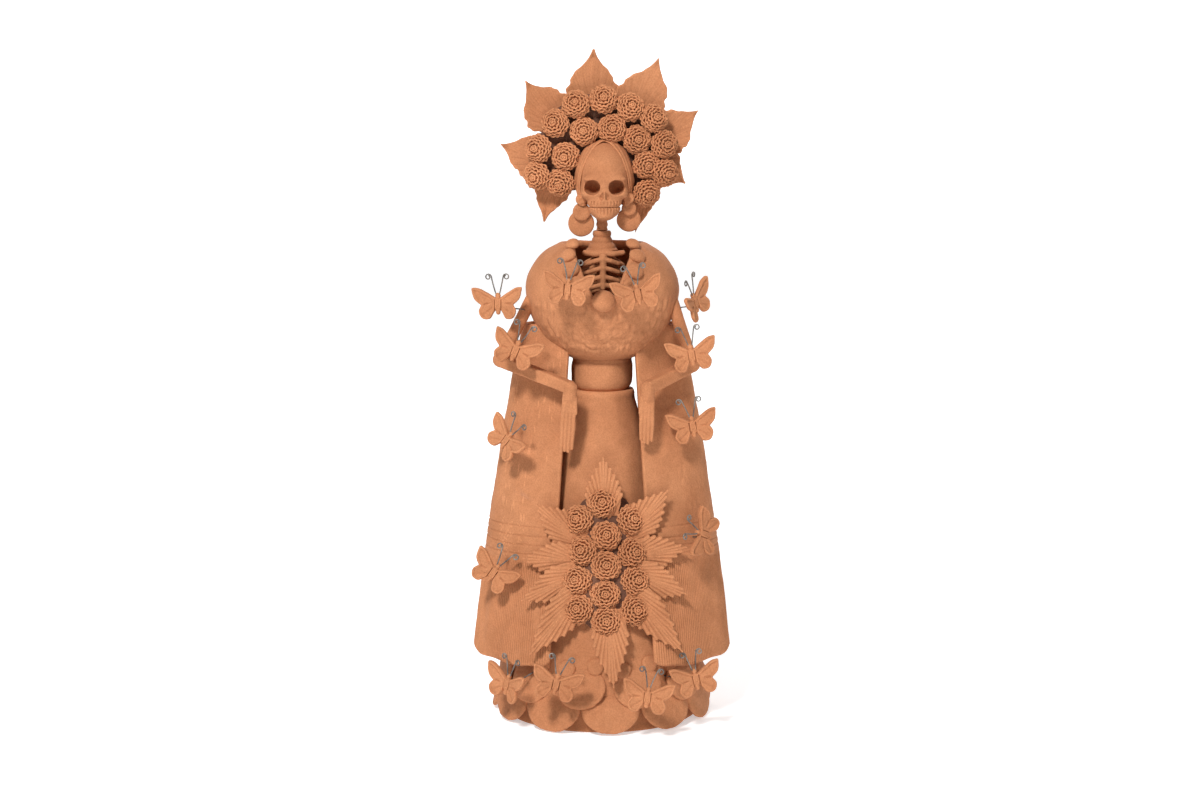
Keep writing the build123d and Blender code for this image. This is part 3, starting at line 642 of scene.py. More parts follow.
def make_waist_band():
    """The belt ring, a soft barrel with a pressed seam above and below."""
    low, high = box_mm("waist_band")
    bulge, foot, top = high[0], low[2], high[2]
    t = np.linspace(0, pi, 42)
    z = foot + (top - foot) * (1 - np.cos(t)) / 2
    share = (z - foot) / (top - foot)
    radius = bulge - 3.4 * (2 * share - 1) ** 4 - 0.5 * np.exp(-((share - 0.78) / 0.05) ** 2)
    profile = np.concatenate([np.stack([radius, z], -1), [(14.3, top), (14.3, foot)]])
    grid = ring_grid(profile, 200)
    swell = hand_marks(grid, 1.0, 11)
    swell[-2:] = 0
    swell_out(grid, swell)
    add("waist_band_clay", closed_ring(grid), "waist_band")


def pebble(half_width, half_height, thickness):
    """A flattened round of clay, its back on the XY plane."""
    def shape(p):
        x, y, z = p[..., 0], p[..., 1], p[..., 2] - thickness / 2
        egg = 1 + 0.10 * y / half_height
        flat = (np.abs(x / (half_width * egg)) ** 2.2 + np.abs(y / half_height) ** 2.2) ** (1 / 2.2)
        edge = (np.abs(flat) ** 2.6 + np.abs(z / (thickness / 2)) ** 2.6) ** (1 / 2.6)
        return (edge - 1) * thickness / 2
    pad = 1.5
    step = max(0.35, half_width / 24)
    low = (-half_width * 1.1 - pad, -half_height - pad, -pad)
    high = (half_width * 1.1 + pad, half_height + pad, thickness + pad)
    return sculpt(shape, low, high, step, 2, 0.0)


def make_hem():
    """Rows of flattened clay rounds that overlap like scales."""
    for row, (name, sizes) in enumerate(HEM_SIZES.items()):
        blank = pebble(*sizes)
        rounds = []
        for i, points in enumerate(islands(name)):
            low, high = points.min(0), points.max(0)
            middle = points.mean(0)
            turn = np.arctan2(middle[0], -middle[1])
            height = (low[2] + high[2]) / 2
            radius = skirt_radius(height) - 1.0
            axes, origin = skirt_plane(turn, radius, height)
            seed = 40 + 20 * row + i
            roll = radians(9) * (lattice(i, row, 3, 1) * 2 - 1)
            axes = np.array((axes[0] * cos(roll) + axes[1] * sin(roll),
                             axes[1] * cos(roll) - axes[0] * sin(roll), axes[2]))
            splay = radians(HEM_SPLAY[row]) * (1 + 0.25 * sin(seed))
            axes = np.array((axes[0], axes[1] * cos(splay) - axes[2] * sin(splay),
                             axes[2] * cos(splay) + axes[1] * sin(splay)))
            shape = moved(blank, origin - axes[2] * (0.6 + 0.4 * sin(seed)), axes)
            strength = 1.3 if row < 2 else 0.6
            shape = raised(shape, lambda p: hand_marks(p, strength, seed)
                           + 0.35 * np.abs(noise(p, 3.2, seed)) * (row < 2))
            verts = shape[0]
            verts[:, 2] = np.maximum(verts[:, 2], 0.05)
            rounds.append((verts, shape[1]))
        add(name.replace("discs", "rounds"), gather(rounds), name)


def make_shawl():
    """The bowl-shaped shawl with a rolled rim, open in a U at the front."""
    columns, rows = 420, 110
    turn = -pi + np.arange(columns) * 2 * pi / columns
    rim = curve_through(NECKLINE, np.degrees(np.abs(turn - radians(1))))
    rim = rim + 0.7 * np.sin(5 * turn) * smooth_step(np.abs(turn), 0.5, 0.9)
    fine = np.linspace(SHAWL[0, 0], SHAWL[-1, 0], 900)
    radius = curve_through(SHAWL[1:], np.maximum(fine, SHAWL[1, 0]))
    radius = np.where(fine < SHAWL[1, 0], np.interp(fine, SHAWL[:, 0], SHAWL[:, 1]), radius)
    length = np.concatenate([[0], np.cumsum(np.hypot(np.diff(radius), np.diff(fine)))])
    share = (1 - np.cos(np.linspace(0, pi, rows))) / 2 * 0.35 + np.linspace(0, 1, rows) * 0.65
    reach = share[:, None] * np.interp(rim, fine, length)[None]
    z = np.interp(reach, length, fine)
    r = np.interp(reach, length, radius)
    slope_r = np.interp(reach, length, np.gradient(radius, length))
    slope_z = np.interp(reach, length, np.gradient(fine, length))
    depth = SHAWL_WALL / 2
    r_mid, z_mid = r - slope_z * depth, z + slope_r * depth
    mid = np.stack([r_mid * np.sin(turn), SHAWL_Y - r_mid * SHAWL_DEPTH * np.cos(turn), z_mid], -1)
    total = np.interp(rim, fine, length)[None]
    half = depth * rounded_edge((1 - share)[:, None] * total, depth * 1.2)
    half = half * rounded_edge(share[:, None] * total, depth)
    facing = smooth_step(-mid[..., 1], 5, 30)
    stamped = (1 - smooth_step(z, 312, 326)) * smooth_step(z, 273, 282) * facing
    tall = mid * (1, 1, 0.6)
    crinkle = np.abs(noise(tall, 4.5, 21)) + 0.6 * np.abs(noise(tall, 2.2, 22)) - 0.45
    relief = hand_marks(mid, 1.0, 20) + 1.2 * stamped * crinkle
    add("shawl_clay", slab(mid, half, relief, 0.0, wrap=True), "shawl")


def make_beads():
    """Flattened pellets of clay pressed on round the neckline."""
    beads = []
    for i, points in enumerate(islands("shawl_beads")):
        middle = points.mean(0)
        out = np.linalg.svd(points - middle, full_matrices=False)[2][2]
        out = out * (1 if out[1] < 0 else -1)
        side = unit(np.cross((0, 0, 1), out))
        local = (points - middle) @ np.array((side, np.cross(out, side), out)).T
        low, high = local.min(0), local.max(0)
        radius, height = (high[0] - low[0]) / 2, high[2] - low[2]
        half = np.array((radius, radius, height)) * PELLET_SWELL
        centre = np.array((0, (low[1] + high[1]) / 2, low[2] + height * PELLET_MIDDLE))
        blank = sculpt(lambda p: ball(p, centre, half), centre - half - 1, centre + half + 1,
                       0.42, 1, 1.0, 70 + i)
        beads.append(moved(blank, middle, (side, np.cross(out, side), out)))
    add("shawl_pellets", gather(beads), "shawl_beads")


def shawl_half_width(height):
    """The shawl's outer half-width at a height."""
    return curve_through(SHAWL[1:], height)


def make_mantle(side, name):
    """One mantle panel: combed below, ruled across, and softly stamped above."""
    columns, middle_rows = 560, 150
    t = np.concatenate([[0, 0.0008, 0.0022, 0.0045], np.linspace(0.008, 0.992, columns),
                        [0.9955, 0.9978, 0.9992, 1]])
    ruled = np.linspace(0.30, 0.42, 70)
    share = np.sort(np.concatenate([[0, 0.0012, 0.003, 0.006], np.linspace(0.01, 0.99, middle_rows),
                                    ruled, [0.994, 0.998, 1]]))

    def surface(z, t):
        wide = curve_through(MANTLE, z, 1) - MANTLE_WALL / 2
        deep = curve_through(MANTLE, z, 2) - MANTLE_WALL / 2
        edge = np.interp(z, MANTLE_EDGE[:, 0], MANTLE_EDGE[:, 1])
        first = np.arcsin(edge / wide)
        turn = first + (pi - 2 * first) * t
        return np.stack([side * wide * np.sin(turn), -deep * np.cos(turn), z + 0 * t], -1)

    heights = np.linspace(262, MANTLE[-1, 0] - 2, 60)
    tops = np.full(len(t), heights[-1])
    for j, value in enumerate(t):
        at = surface(heights, np.full(60, value))
        reach = np.hypot(at[:, 0], (at[:, 1] - SHAWL_Y) / SHAWL_DEPTH)
        hidden = np.nonzero(reach < shawl_half_width(np.maximum(heights, 271)) - 3.5)[0]
        hidden = hidden[heights[hidden] > 272]
        if len(hidden):
            tops[j] = heights[hidden[0]]
    tops = np.convolve(np.pad(tops, 6, "edge"), np.ones(13) / 13, "valid")
    corner = np.minimum(t, 1 - t) * 250
    foot = MANTLE[0, 0] + 5.0 * np.exp(-corner / 4.5) + 0.7 * np.sin(t * 31)
    z = foot[None] + share[:, None] * (tops - foot)[None]
    mid = surface(z, t[None] + 0 * z)
    along = np.minimum(t, 1 - t)[None] * 250
    up = np.minimum(z - foot[None], tops[None] - z)
    half = MANTLE_WALL / 2 * rounded_edge(along, 2.0) * rounded_edge(up, 2.0)
    combed = 1 - smooth_step(z, COMB_TOP - 3, COMB_TOP)
    wander = 0.35 * noise(mid * (1, 1, 0.2), 9, 31)
    teeth = np.abs(np.sin(pi * (t[None] * COMB_TEETH + wander)))
    pressed = smooth_step(noise(mid * (1, 1, 0.15), 6, 35), -0.95, -0.2)
    relief = -0.62 * combed * (1 - teeth) ** 1.3 * pressed
    for i, height in enumerate(RULED_LINES):
        wave = height + 1.1 * noise(mid, 45, 32 + i)
        relief = relief - 0.55 * np.exp(-((z - wave) / 0.75) ** 2)
    above = smooth_step(z, 150, 162)
    stamp = np.maximum(noise(mid, 9, 36), 0.15) * np.abs(noise(mid, 3.6, 37))
    relief = relief + 0.9 * above * stamp + hand_marks(mid, 0.9, 38)
    relief = relief * smooth_step(along, 0.5, 2.5)
    shape = slab(mid, half, *((relief, 0.0) if side > 0 else (0.0, relief)))
    add(name + "_clay", shape, name)


# ---- bones of the chest ----
def chain(p, points, radius, end_radius=None):
    """A smooth row of rods through several points."""
    far = radius if end_radius is None else end_radius
    steps = np.linspace(radius, far, len(points))
    field = None
    for i in range(len(points) - 1):
        rod = capsule(p, points[i], points[i + 1], steps[i], steps[i + 1])
        field = rod if field is None else np.minimum(field, rod)
    return field


def make_ribs():
    """Spine, breastbone and ribs that fall outward from it."""
    low, high = box_mm("rib_cage")

    def shape(p):
        field = capsule(p, (0, 7, low[2] + 3), (0, 0, high[2] - 2), 4.2)
        field = join(field, capsule(p, (0.8, -21.5, low[2] + 4), (0.8, -20, 349), 2.0, 2.9), 1)
        for height in RIB_HEIGHTS:
            for side in (-1, 1):
                points = [(0.8, -21, height), (0.8 + side * 6, -20.3, height - 1.6),
                          (0.8 + side * 11, -17.5, height - 3.6),
                          (0.8 + side * 14.6, -12, height - 5.6),
                          (0.8 + side * 15, -5, height - 6), (0.8 + side * 12, 3, height - 4),
                          (0.8 + side * 4, 7.5, height)]
                field = join(field, chain(p, points, 1.95, 1.6), 0.8)
        return field
    add_sculpted("rib_cage_clay", shape, "rib_cage", 2, 0.42, 1, 0.5, 80)


def make_clavicle():
    """The collar bones, swept back a little at their ends."""
    low, high = box_mm("clavicle")
    centre = (low + high) / 2

    def shape(p):
        points = [(low[0] + 2, centre[1] + 1.8, centre[2] + 0.8),
                  (centre[0] - 7, centre[1] - 0.4, centre[2]),
                  (centre[0], centre[1], centre[2] + 0.3),
                  (centre[0] + 7, centre[1] - 0.4, centre[2]),
                  (high[0] - 2, centre[1] + 1.8, centre[2] + 0.8)]
        return chain(p, points, 2.3, 2.3)
    add_sculpted("clavicle_clay", shape, "clavicle", 2, 0.4, 2, 0.7, 81)


def make_collar():
    """The neck stump, ringed like vertebrae, that flares to the collar bones."""
    low, high = box_mm("neck_collar")
    top, foot = high[2], low[2]
    table = np.array([(foot, 12.2), (foot + 3, 10.4), (foot + 6, 8.4), (foot + 9, 7.2), (top, 6.9)])

    def shape(p):
        reach = np.hypot(p[..., 0], p[..., 1] - NECK_Y)
        z = p[..., 2]
        radius = curve_through(table, z) - 0.55 * np.abs(np.sin((z - foot) * pi / 4.1)) ** 4
        wall = np.maximum((reach - radius) * 0.9, np.maximum(z - top, foot - z))
        return np.maximum(wall, np.where(z > top - 13, 3.4 - reach, -1.0))
    add_sculpted("neck_collar_clay", shape, "neck_collar", 2, 0.4, 1, 0.5, 82)


def make_peg():
    """The head's own neck, two vertebrae above a plain spigot."""
    low, high = box_mm("neck_peg")

    def shape(p):
        reach = np.hypot(p[..., 0], p[..., 1] - NECK_Y)
        z = p[..., 2]
        start = low[2] + 12.0
        radius = np.where(z > start, 4.35 - 0.5 * np.abs(np.sin((z - start) * pi / 4.4)) ** 3, 2.95)
        return np.maximum((reach - radius) * 0.9, np.maximum(z - high[2], low[2] - z))
    add_sculpted("neck_vertebrae", shape, "neck_peg", 1.5, 0.3, 1, 0.25, 83)


# ---- arms ----
def make_arm(side, points):
    """Upper arm, square forearm and long hand, each its own piece."""
    shoulder, elbow, wrist, tip = (np.array(p, float) for p in points)

    def upper(p):
        field = capsule(p, shoulder, elbow, 4.9, 4.6)
        return carve(field, bar(p, elbow, wrist, FOREARM_HALF, FOREARM_HALF, 2.2), 0.5)

    def lower(p):
        field = bar(p, elbow, wrist + unit(wrist - elbow) * 1.0, FOREARM_HALF * 0.94,
                    FOREARM_HALF * 0.98, 1.5)
        return join(field, ball(p, elbow, (5.6, 5.6, 5.6)), 1.5)

    down = unit(tip - wrist)
    out = -1 if side == "left" else 1
    across = unit(np.array((1.0, 0, 0)) - down * down[0])
    front = np.cross(across, down) * (1 if np.cross(across, down)[1] < 0 else -1)

    def hand(p):
        length = np.linalg.norm(tip - wrist)
        field = bar(p, wrist - down * 2, wrist + down * 19, 4.7, 1.9, 1.6, front)
        field = join(field, capsule(p, wrist, wrist + down * 7, 5.0, 4.2), 2.0)
        for i in range(4):
            offset = (i - 1.5) * 2.75
            reach = length - (2.4 * abs(i - 1.6) + 1.0)
            start = wrist + down * 8 + across * offset * 0.85
            knuckle = wrist + down * (length * 0.62) + across * offset * 1.02 + front * 0.7
            end = wrist + down * reach + across * offset * 0.95 - front * 0.5
            finger = np.minimum(capsule(p, start, knuckle, 1.65, 1.6),
                                capsule(p, knuckle, end, 1.6, 1.15))
            field = join(field, finger, 0.8)
        thumb = capsule(p, wrist + down * 8 - across * out * 4.2,
                        wrist + down * 19 - across * out * 5.4 + front * 0.8, 1.7, 1.2)
        return join(field, thumb, 1.2)

    for name, shape, step, marks in (("upper_arm", upper, 0.7, 0.8), ("forearm", lower, 0.6, 0.7),
                                     ("hand", hand, 0.4, 0.25)):
        node_name = f"{name}_{side}"
        add_sculpted(node_name + "_clay", shape, node_name, 3.5, step, 1, marks, 90 + len(name))


# ---- head ----
def tooth_gaps(p, low, high, spread, back):
    """Thin upright slits between the teeth, round the front of the mouth."""
    field = None
    for i in range(-4, 5):
        turn = radians(13.5) * i
        x, y = spread * sin(turn), back - spread * cos(turn)
        slit = capsule(p, (x, y + 0.3, low), (x * 0.96, y, high), 0.74, 0.6)
        field = slit if field is None else np.minimum(field, slit)
    return field


def make_skull():
    """A calm round skull: domed brow, deep sockets, small nose and a row of teeth."""
    def shape(world):
        p = world - HEAD.astype(np.float32)
        field = ball(p, (0, 0, 409.3), (18.3, 20.5, 23.9))
        field = join(field, ball(p, (0, -6.0, 398.5), (17.2, 14.6, 9.6)), 4.0)
        field = join(field, ball(p, (0, -8.8, 389.6), (12.6, 11.9, 7.0)), 2.5)
        for side in (-1, 1):
            field = join(field, ball(p, (side * 12.6, -11.5, 396.2), (4.6, 5.6, 3.4)), 3.5)
            field = join(field, ball(p, (side * 8.8, -16.8, 407.4), (6.8, 3.4, 2.6)), 4.0)
        field = join(field, ball(p, (0.2, -18.9, 397.6), (2.6, 3.0, 5.4)), 3.0)
        for side in (-1, 1):
            field = carve(field, ball(p, (side * EYE[0], -15.5, EYE[1]), (6.1, 12.0, 5.8)), 0.9)
            field = carve(field, capsule(p, (side * 1.2 + 0.2, -22.4, 397.2),
                                         (side * 2.5 + 0.2, -20.2, 393.4), 1.0, 1.9), 0.3)
        field = carve(field, tooth_gaps(p, MOUTH_Z - 1, MOUTH_Z + 4.6, 11.9, -8.9), 0.3)
        return carve(field, p[..., 2] - (MOUTH_Z + 0.10), 0.25)
    low, high = box_mm("skull")
    add("skull_clay", sculpt(shape, low - 4, high + 3, 0.34, 1, 0.3, 100), "skull")


def make_jaw():
    """The lower jaw with its own row of teeth and a rounded chin."""
    def shape(world):
        p = world - HEAD.astype(np.float32)
        field = ball(p, (0, -7.8, 385.6), (11.9, 12.7, 9.0))
        field = join(field, ball(p, (0, -14.0, 380.0), (6.4, 5.4, 3.6)), 3.0)
        field = carve(field, tooth_gaps(p, MOUTH_Z - 5.0, MOUTH_Z + 1, 12.0, -8.3), 0.3)
        field = carve(field, capsule(p, (0, 6, 376), (0, 6, 395), 4.8), 0.3)
        return carve(field, (MOUTH_Z - 0.10) - p[..., 2], 0.25)
    add_sculpted("jaw_clay", shape, "jaw", 3, 0.34, 1, 0.3, 101)


def make_hair():
    """Smooth bands of hair, parted in the middle, combed down over the ears."""
    def frame_ring(p):
        """One at the edge of the face opening, which is pointed above and open below."""
        above = np.maximum(p[..., 2] - 401, 0) / 33.0
        return (np.abs(p[..., 0] / 17.6) ** 1.7 + above ** 1.7) ** (1 / 1.7)

    def shape(world):
        p = world - HEAD.astype(np.float32)
        field = ball(p, (0, 3.6, 408.2), (22.0, 22.4, 27.8))
        ahead = np.where(p[..., 1] < 6, (frame_ring(p) - 1) * 17.0, 20.0)
        field = carve(field, ahead, 1.6)
        for side in (-1, 1):
            lock = capsule(p, (side * 19.0, 2, 405), (side * 16.2, -3, 388.0), 3.2, 3.0)
            field = join(field, lock, 2.0)
        field = carve(field, ball(p, (0, 0, 409.3), (17.6, 19.8, 23.2)), 0.3)
        field = carve(field, capsule(p, (0, -22, 437.6), (0, 6, 438.6), 1.3), 1.2)
        return carve(field, p[..., 2] - 385.5, 1.5)
    low, high = box_mm("hair")
    verts, quads = sculpt(shape, low - 3, high + 3, 0.45, 1, 0.4, 102)

    def strands(p):
        ring = frame_ring(p - HEAD)
        wave = np.sin(ring * 46 + 1.5 * noise(p, 12, 103))
        seam = 0.7 * np.exp(-((ring - 1.11) / 0.022) ** 2)
        return 0.14 * wave * smooth_step(ring, 1.02, 1.1) - seam
    add("hair_bands", raised((verts, quads), strands), "hair")


def make_earrings():
    """Three pressed clay discs, each larger and set further back than the one above."""
    for side, stack in EARRINGS.items():
        name = f"earring_{side}"
        low, _ = box_mm(name)
        shapes = []
        for i, (x, z, radius) in enumerate(stack):
            y = low[1] + 2.0 + 3.2 * i

            def disc(p, x=x, y=y, z=z, radius=radius):
                reach = np.hypot(p[..., 0] - x, p[..., 2] - z) / radius
                deep = np.abs(p[..., 1] - y) / 2.0
                dish = 0.35 * np.exp(-(reach / 0.45) ** 2) * (p[..., 1] < y)
                return ((reach ** 3 + (deep + dish) ** 3) ** (1 / 3) - 1) * 2.0
            corner = np.array((radius + 1, 3.0, radius + 1))
            centre = np.array((x, y, z))
            shapes.append(sculpt(disc, centre - corner, centre + corner, 0.36, 1, 0.7, 110 + i))
        add(f"earring_discs_{side}", gather(shapes), name)


# ---- flowers and leaves ----
def petal(length, width, lift, cup):
    """One cupped petal, its foot at the origin and its tip along +X, hollow side up."""
    u = np.linspace(0, 1, 7)[:, None]
    v = np.linspace(-1, 1, 7)[None]
    wide = width / 2 * (0.45 + 0.95 * np.sin(pi * np.clip(u * 0.78 + 0.06, 0, 1)) ** 0.8
                        - 0.25 * u ** 3)
    x = length * u * (1 - 0.17 * v ** 2 * u)
    z = cup * (v ** 2) * (0.3 + u) + lift * u ** 2
    mid = np.stack([x + 0 * v, wide * v, z + 0 * v], -1)
    edge = np.minimum(np.minimum(u, 1 - u) * length, (1 - np.abs(v)) * wide)
    return slab(mid, 0.58 * rounded_edge(edge, 0.8))


def flower(radius, height, core, seed):
    """A dahlia-like head of deep-cupped petals in rings, on its domed core."""
    shapes = []
    for ring, (lean, count) in enumerate(RINGS):
        lean = radians(lean)
        width = 0.98 * 2 * pi * (radius * cos(lean) - 0.5) / count
        blank = petal(radius * 0.50, min(width, 4.2), 0.3, 1.5)
        for i in range(count):
            jitter = [lattice(i, ring, k, seed) * 2 - 1 for k in range(3)]
            turn = 2 * pi * (i + 0.5 * (ring % 2) + 0.14 * jitter[0]) / count
            tilt = lean + radians(9) * jitter[1] + radians(6)
            radial = np.array((cos(turn), sin(turn), 0))
            out = radial * cos(tilt) + np.array((0, 0, sin(tilt)))
            side = np.array((-sin(turn), cos(turn), 0))
            up = np.cross(out, side)
            tip = radial * radius * cos(lean) + np.array((0, 0, height * sin(lean) + 0.6))
            foot = tip - out * radius * (0.50 - 0.045 * jitter[2])
            shapes.append(moved(blank, foot, (out, side, up)))
    bud = petal(radius * 0.42, 2.6, 0.2, 1.3)
    for i in range(3):
        turn = 2 * pi * i / 3 + seed
        side = np.array((-sin(turn), cos(turn), 0))
        radial = np.array((cos(turn), sin(turn), 0))
        shapes.append(moved(bud, radial * 0.9 + (0, 0, height - radius * 0.36),
                            ((0, 0, 1), side, -radial)))
    return gather(shapes + [core])


def flower_core(radius, height):
    """The clay ball that a flower's petals are set on."""
    half = (radius * 0.70, radius * 0.70, height * 0.74)
    return sculpt(lambda p: ball(p, (0, 0, 0), half),
                  (-radius * 0.7 - 1, -radius * 0.7 - 1, -height * 0.75 - 1),
                  (radius * 0.7 + 1, radius * 0.7 + 1, height * 0.75 + 1), 1.1, 0, 0.3)


def flower_axis(points, out):
    """The middle of a CAD flower's top face, found along its outward direction."""
    reach = points @ out
    return points[reach > reach.max() - 0.15].mean(0)


def make_flowers(name, piece, radius, height, cad_height, outward_at, roll_seed):
    """Each CAD flower as its own many-petalled head, all in one piece."""
    core = flower_core(radius, height)
    shapes = []
    for i, points in enumerate(islands(name)):
        middle = points.mean(0)
        out = unit(outward_at(middle))
        top = flower_axis(points, out)
        roll = lattice(i, 5, 9, roll_seed) * 2 * pi
        side = unit(np.cross((0.2, 0.1, 1.0), out))
        rise = np.cross(out, side)
        axes = (side * cos(roll) + rise * sin(roll), rise * cos(roll) - side * sin(roll), out)
        head = flower(radius, height, core, roll_seed + i)
        shapes.append(moved(head, top - out * cad_height, axes))
    add(piece, gather(shapes), name)


def hood_outward(middle):
    """The way a headdress flower faces: forward, and outward near the rim."""
    away = hypot(middle[0], middle[2] - HOOD_Z) / HOOD_HALF[0]
    return middle[0] * 0.5 * away, -HOOD_HALF[0], (middle[2] - HOOD_Z) * 0.5 * away


def skirt_outward(middle):
    """The way a bouquet flower faces: square to the skirt."""
    return on_skirt(middle[0], middle[2], MOUND_RISE)[0][2]


def broad_leaf(length, half_width, seed):
    """A thin ragged-edged leaf along +X, with veins that fan from its foot and a turned tip."""
    u = np.linspace(0, 1, 96)[:, None]
    v = np.linspace(-1, 1, 73)[None]
    outline = curve_through(LEAF_OUTLINE, u)
    ragged = (0.05 * np.sin(u * 21 + seed) + 0.03 * np.sin(u * 47 + 2 * seed)
              + 0.03 * np.sin(u * 9 + 3 * seed + np.sign(v)))
    wide = half_width * outline * (1 + ragged * smooth_step(outline, 0.1, 0.6))
    x = length * (u - 0.03 * (1 - v ** 2) * (1 - u))
    y = wide * v + half_width * 0.10 * np.sin(u * 4.4 + 1.7 * seed) * u
    flat = np.stack([x + 0 * v, y, 0 * y], -1)
    billow = 2.0 * noise(flat + (0, 0, 40 * seed), 17, 120 + seed) * np.abs(v)
    billow = billow + 1.3 * v ** 2 * outline + 2.6 * smooth_step(u, 0.82, 1.0) ** 2
    flat[..., 2] = billow * smooth_step(u, 0.1, 0.45)
    distance = np.minimum((1 - np.abs(v)) * wide, np.minimum(u, 1 - u) * length)
    half = 1.05 * rounded_edge(distance, 1.3)
    fan = np.arctan2(wide * v, x + 9)
    veins = np.abs(np.cos(fan * 21 + 0.5 * np.sin(u * 6 + seed))) ** 6
    veins = veins * smooth_step(np.abs(v), 0.04, 0.12)
    fine = np.abs(np.cos(fan * 63)) ** 3
    rib = 0.35 * np.exp(-(v * wide / 0.8) ** 2) * (1 - u)
    relief = -0.30 * veins - 0.10 * fine + rib + hand_marks(flat, 0.6, 130 + seed)
    return slab(flat, half, 0.2 * veins, relief)


def make_head_leaves():
    """Broad leaves that fan out behind the headdress flowers."""
    found = islands("headdress_leaves")
    shapes = []
    for i, (foot, half_width) in enumerate(LEAF_FEET):
        foot = np.array(foot, float)
        direction = unit(foot - (0, HOOD_Z))
        scores = [((p[:, [0, 2]] - foot) @ direction).max() - abs(
            np.cross(direction, p[:, [0, 2]].mean(0) - foot)) for p in found]
        points = found[int(np.argmax(scores))]
        plane = points[:, [0, 2]] - (0, HOOD_Z)
        tip = points[np.argmax(np.hypot(*plane.T))]
        depth = (points[:, 1].min() + points[:, 1].max()) / 2
        start = np.array((foot[0], depth, foot[1]))
        run = np.array((tip[0], depth, tip[2])) - start
        reach = np.linalg.norm(run) + 8
        along = unit(run)
        toward = np.array((0.0, -1, 0))
        axes = (along, np.cross(toward, along), toward)
        shapes.append(moved(broad_leaf(reach, half_width, i), start - along * 8, axes))
    add("headdress_leaf_fan", gather(shapes), "headdress_leaves")


def fluted_leaf(length, half_width, seed):
    """A leaf modelled from finger ridges that run forward from a midrib along +X."""
    def shape(p):
        share = np.clip(p[..., 0] / length, -0.1, 1.0)
        wide = half_width * curve_through(FLUTED_OUTLINE, share)
        field = (np.maximum(np.abs(p[..., 1]) - wide, 0) + np.maximum(-3 - p[..., 0], 0)
                 + np.maximum(np.abs(p[..., 2] + 0.1) - 0.95, -0.3))
        field = join(field, capsule(p, (-3, 0, 0.3), (length - 1.0, 0, 0.8), 1.5, 0.7), 0.6)
        for side in (-1, 1):
            for i in range(6):
                start = length * (-0.16 + 0.065 * i)
                end_share = 0.30 + 0.125 * i
                reach = half_width * float(curve_through(FLUTED_OUTLINE, np.array(end_share))) + 0.3
                end = (length * end_share + 1.0, side * reach, 0.5)
                root = (start, side * (2.8 - 0.45 * i), 0.3)
                field = join(field, capsule(p, root, end, 1.2, 1.8 - 0.14 * i), 0.25)
        return field
    return sculpt(shape, (-6, -half_width - 3, -3), (length + 3, half_width + 3, 4.5), 0.42, 1,
                  0.4, 140 + seed)


def make_bouquet_leaves():
    """Fluted leaves that spread from under the bouquet over skirt and mantle."""
    shapes = []
    for i, points in enumerate(islands("bouquet_leaves")):
        plane = points[:, [0, 2]] - BOUQUET_CENTRE
        tip = points[np.argmax(np.hypot(*plane.T))]
        way = np.array((tip[0], tip[2])) - BOUQUET_CENTRE
        foot = BOUQUET_CENTRE + way * 0.72 / hypot(*(way / MOUND_HALF))
        radius = skirt_radius(foot[1]) + MOUND_RISE - 0.5
        start = np.array((foot[0], -np.sqrt(radius ** 2 - foot[0] ** 2), foot[1]))
        run = tip - start
        along = unit(run)
        face = unit(np.array((0, -1.0, 0)) - along * -along[1])
        axes = (along, np.cross(face, along), face)
        length = np.linalg.norm(run)
        shapes.append(moved(fluted_leaf(length, min(12.5, 0.28 * length + 5), i), start, axes))
    add("bouquet_leaf_spray", gather(shapes), "bouquet_leaves")


def make_pads():
    """The rough pads of clay that hold the headdress and the bouquet together."""
    low, _ = box_mm("headdress_frame")

    def hood(p):
        flat = np.hypot(p[..., 0] / (HOOD_HALF[0] - 0.5),
                        (p[..., 2] - HOOD_Z) / (HOOD_HALF[1] - 0.5))
        edge = (flat ** 5 + (np.abs(p[..., 1] - 0.5) / 6.4) ** 5) ** 0.2
        field = (edge - 1) * 6.4
        field = np.maximum(field, low[2] + 1.0 - p[..., 2])
        return carve(field, ball(p, HEAD + (0, 1, 409.0), (21.5, 21.5, 27.0)), 1.0)
    add_sculpted("headdress_pad", hood, "headdress_frame", 3, 1.0, 2, 1.8, 150)

    def mound(p):
        reach = np.hypot(p[..., 0], p[..., 1])
        rise = (reach - skirt_radius(p[..., 2])) * 0.95
        away = np.hypot(*((p[..., [0, 2]] - BOUQUET_CENTRE) / MOUND_HALF).transpose(3, 0, 1, 2))
        top = MOUND_RISE * rounded_edge(1 - away, 0.35) - 0.3
        return np.maximum(np.maximum(rise - top, -rise - 0.5), (away - 0.99) * 30)
    add_sculpted("bouquet_pad", mound, "bouquet_mound", 3, 1.0, 1, 1.0, 151)


# ---- butterflies ----
def spline(points, count):
    """Points along a smooth curve through these ones."""
    points = np.array(points, float)
    gaps = np.concatenate([[0], np.cumsum(np.linalg.norm(np.diff(points, axis=0), axis=1))])
    at = np.linspace(0, gaps[-1], count)
    rows = [curve_through(np.stack([gaps, points[:, k]], -1), at) for k in (0, 1)]
    return np.stack(rows, -1)


def polygon_distance(x, y, outline):
    """Signed distance in the plane to a closed outline; inside is negative."""
    best = np.full(x.shape, 1e9)
    inside = np.zeros(x.shape, bool)
    for (ax, ay), (bx, by) in zip(outline, np.roll(outline, -1, 0)):
        ex, ey = bx - ax, by - ay
        share = np.clip(((x - ax) * ex + (y - ay) * ey) / (ex * ex + ey * ey), 0, 1)
        best = np.minimum(best, np.hypot(x - ax - share * ex, y - ay - share * ey))
        crosses = (ay > y) != (by > y)
        slope = (x - ax) - ex * (y - ay) / (ey if abs(ey) > 1e-9 else 1e-9)
        inside ^= crosses & (slope < 0)
    return np.where(inside, -best, best)


